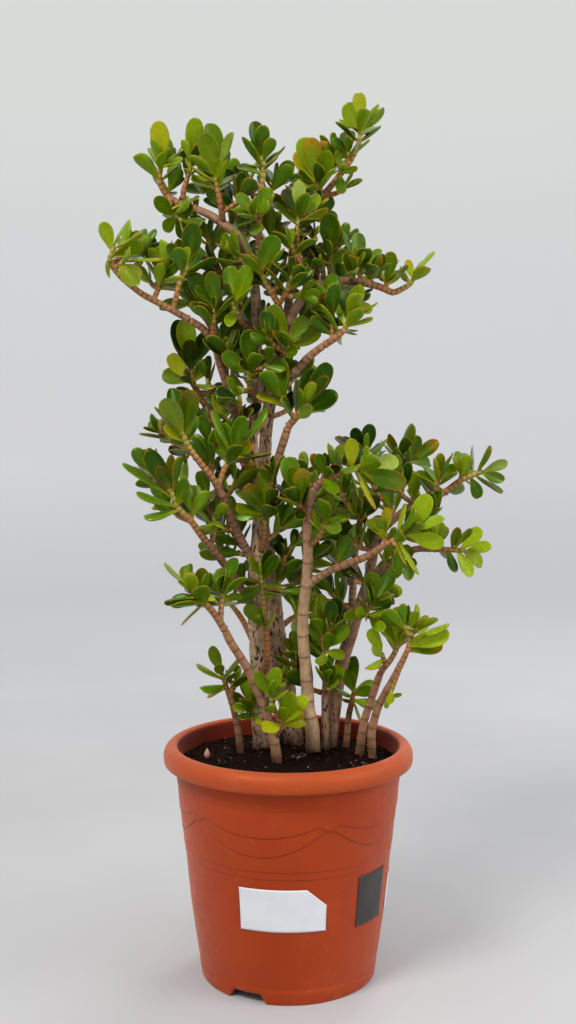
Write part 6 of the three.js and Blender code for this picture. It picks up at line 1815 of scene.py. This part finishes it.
SPECK = plain_grain("speck", linear(118, 100, 80), linear(206, 192, 168))
PERLITE = plain_grain("perlite", linear(72, 62, 46), linear(164, 150, 124))
PELLET = plain_grain("pellet", linear(170, 112, 96), linear(214, 160, 142))
PERLITE_SPOTS = [(1.0, -1.2, 0.1), (1.5, -0.4, 0.4), (8.9, -3.2, 0.5)]
feet = [foot_of(limbs) for limbs in stems.values()]
rng = np.random.default_rng(11)
for name, material, facts in (
        ("soil_crumbs", SOIL, (1100, rng, 0.06, 0.3)),
        ("soil_collars", SOIL, (30 * len(feet), rng, 0.05, 0.17, 0.8, feet)),
        ("soil_specks", SPECK, (190, rng, 0.035, 0.11)),
        ("soil_perlite", PERLITE, (110, rng, 0.04, 0.12, 0.8, PERLITE_SPOTS))):
    mesh_piece(name, *scattered(*facts), material=material, slot="soil")
pellet = crumb_mesh(rng, place(-10.5, 28.3, -2.0), 0.42, 1.6)
mesh_piece("soil_pellet", *pellet, material=PELLET, slot="soil")

# ------------------------------------------------------------------ the stickers

# Where each sticker is: its sides and where its cut corner starts, as turns from the front in degrees, and
# its lower and upper edge.
PAPER = {"from": -26.7, "to": 20.7, "cut": 9.8, "low": 98.0, "high": 152.0}
SIDE = {"from": 75.0, "to": 99.0, "cut": 99.0, "low": 91.0, "high": 137.0}
DARK = {"from": 40.6, "to": 64.0, "cut": 64.0, "low": 92.0, "high": 157.0}
STICKER_LIFT = 0.45
STICKER_THICKNESS = 0.35
STICKER_ACROSS, STICKER_UP = 40, 22
CORNER_DROP = 0.4


def sticker_point(facts, share, rise, lift, curl):
    """A point of a sheet that is bent round the wall, with its corners a little off it."""
    turn = facts["from"] + (facts["to"] - facts["from"]) * share
    cut = 0.0
    if facts["to"] > facts["cut"]:
        cut = max(0.0, (turn - facts["cut"]) / (facts["to"] - facts["cut"]))
    top = facts["high"] - cut * CORNER_DROP * (facts["high"] - facts["low"])
    height = facts["low"] + (top - facts["low"]) * rise
    corner = (2 * share - 1) ** 4 * (2 * rise - 1) ** 4
    radius = float(wall_radius(height)) - ALL_STEPS + STICKER_LIFT + lift + curl * corner
    radius += 0.08 * noise.noise(Vector((turn * 0.25, height * 0.06, 4.0)))
    angle = math.radians(turn - 90)
    return radius * math.cos(angle), radius * math.sin(angle), height


def sheet_faces(across, up):
    """The faces of a thin sheet: its back, its front and its edge."""
    wide = across + 1
    total = wide * (up + 1)
    faces = []
    for j in range(up):
        for i in range(across):
            a, b, c, d = j * wide + i, j * wide + i + 1, (j + 1) * wide + i + 1, (j + 1) * wide + i
            faces += [(d, c, b, a), (a + total, b + total, c + total, d + total)]
    edge = list(range(across)) + [j * wide + across for j in range(up)]
    edge += [up * wide + i for i in range(across, 0, -1)] + [j * wide for j in range(up, 0, -1)]
    return faces + [(a, b, b + total, a + total) for a, b in zip(edge, edge[1:] + edge[:1])]


def sticker(name, facts, material, replaces, curl):
    """A thin sheet on the wall."""
    across, up = STICKER_ACROSS, STICKER_UP
    places = [(i / across, j / up) for j in range(up + 1) for i in range(across + 1)]
    points = [sticker_point(facts, *at, lift, curl) for lift in (0.0, STICKER_THICKNESS) for at in places]
    mesh_piece(name, np.array(points) * MM / CM, sheet_faces(across, up), material=material,
               slot=replaces or "paper_sticker", replaces=[replaces] if replaces else None)


def sheet_material(name, light, shade, roughness, weight):
    s = Shader(name)
    at = s.place()
    fibre = s.noise(at, 1300.0, 4.0, 0.7)
    cloud = s.noise(at, 34.0, 3.0)
    colour = s.mix(s.between(cloud, 0.35, 0.65), shade, light)
    colour = s.mix(s.between(fibre, 0.35, 0.65, 0.0, 0.25), colour, shade)
    return s.finish(colour, roughness, s.bump(fibre, weight, 0.0003), Specular_IOR_Level=0.4)


PAPER_WHITE = sheet_material("paper", linear(222, 223, 227), linear(213, 214, 219), 0.62, 0.25)
sticker("sticker_paper", PAPER, PAPER_WHITE, "paper_sticker", 0.7)
sticker("sticker_side", SIDE, PAPER_WHITE, None, 0.4)
sticker("sticker_dark", DARK, sheet_material("dark_film", linear(58, 53, 50), linear(46, 42, 40), 0.42, 0.08),
        "dark_sticker", 0.5)

# ------------------------------------------------------------------ floor and light

# A floor that curves up into a wall all round, so that no edge shows from any side: radius and height.
FLAT_REACH = 3.4
BEND_RADIUS = 1.8
BOWL = [(0.6, 0.0), (1.4, 0.0), (2.6, 0.0), (FLAT_REACH, 0.0)]
for angle in np.radians(np.arange(5, 91, 5)):
    BOWL.append((FLAT_REACH + BEND_RADIUS * math.sin(angle), BEND_RADIUS - BEND_RADIUS * math.cos(angle)))
BOWL.append((FLAT_REACH + BEND_RADIUS, 3.4))
BOWL_SIDES = 96


def floor_material():
    """Grey floor, painted paler far off and paler still up the wall: painted light that evens out the lamps'
    light there.
    """
    s = Shader("floor")
    cloud = s.between(s.noise(s.place(), 2.2, 2.0), 0.3, 0.7)
    near = s.mix(cloud, linear(172, 171, 172), linear(180, 179, 180))
    reach = s.node("ShaderNodeVectorMath", {0: s.place()}, operation="LENGTH").outputs["Value"]
    # Painted light on the far floor, which the lamps reach less.
    colour = s.mix(s.between(reach, 1.2, FLAT_REACH), near, linear(204, 204, 206))
    # Painted light up the wall, paler still higher up.
    colour = s.mix(s.between(s.height(), 0.0, 0.5), colour, linear(222, 222, 224))
    colour = s.mix(s.between(s.height(), 0.6, 2.4), colour, linear(236, 238, 234))
    return s.finish(colour, 0.8, Specular_IOR_Level=0.15)


def studio_floor():
    """The floor and its wall as one mesh: a disc of triangles, then rings of quads."""
    points = [(0.0, 0.0, 0.0)]
    for radius, height in BOWL:
        points += circle(radius, height, BOWL_SIDES)
    faces = [(0, 1 + k, 1 + (k + 1) % BOWL_SIDES) for k in range(BOWL_SIDES)]
    faces += [quad[::-1] for quad in grid_faces(len(BOWL), BOWL_SIDES, 1)]
    mesh = bpy.data.meshes.new("floor")
    mesh.from_pydata(points, [], [tuple(int(v) for v in f) for f in faces])
    mesh.polygons.foreach_set("use_smooth", [True] * len(mesh.polygons))
    mesh.materials.append(floor_material())
    made = bpy.data.objects.new("floor", mesh)
    bpy.context.scene.collection.objects.link(made)
    return made


floor = studio_floor()

world = bpy.data.worlds.new("studio")
world.use_nodes = True
world.node_tree.nodes["Background"].inputs["Color"].default_value = (0.95, 0.975, 1.0, 1.0)
world.node_tree.nodes["Background"].inputs["Strength"].default_value = 0.85
bpy.context.scene.world = world

LIT_POINT = Vector((0.0, 0.0, 0.6))


def soft_light(name, at, size, power, colour=(1.0, 1.0, 1.0), mirrored=True):
    """A round lamp that points at the plant."""
    light = bpy.data.lights.new(name, "AREA")
    light.shape = "DISK"
    light.size = size
    light.energy = power
    light.color = colour
    made = bpy.data.objects.new(name, light)
    made.location = at
    made.rotation_euler = (LIT_POINT - Vector(at)).to_track_quat("-Z", "Y").to_euler()
    made.visible_glossy = mirrored
    bpy.context.scene.collection.objects.link(made)


soft_light("key", (-1.2, -1.6, 2.7), 1.0, 62.0, (1.0, 0.985, 0.95))
soft_light("fill", (2.2, -0.9, 1.5), 1.6, 31.0, (0.98, 0.99, 1.0))
# The back light is kept out of reflections, where it would blow out leaves that are seen edge-on.
soft_light("back", (0.8, 1.9, 2.6), 1.2, 30.0, mirrored=False)
bpy.context.scene.view_settings.view_transform = "Standard"
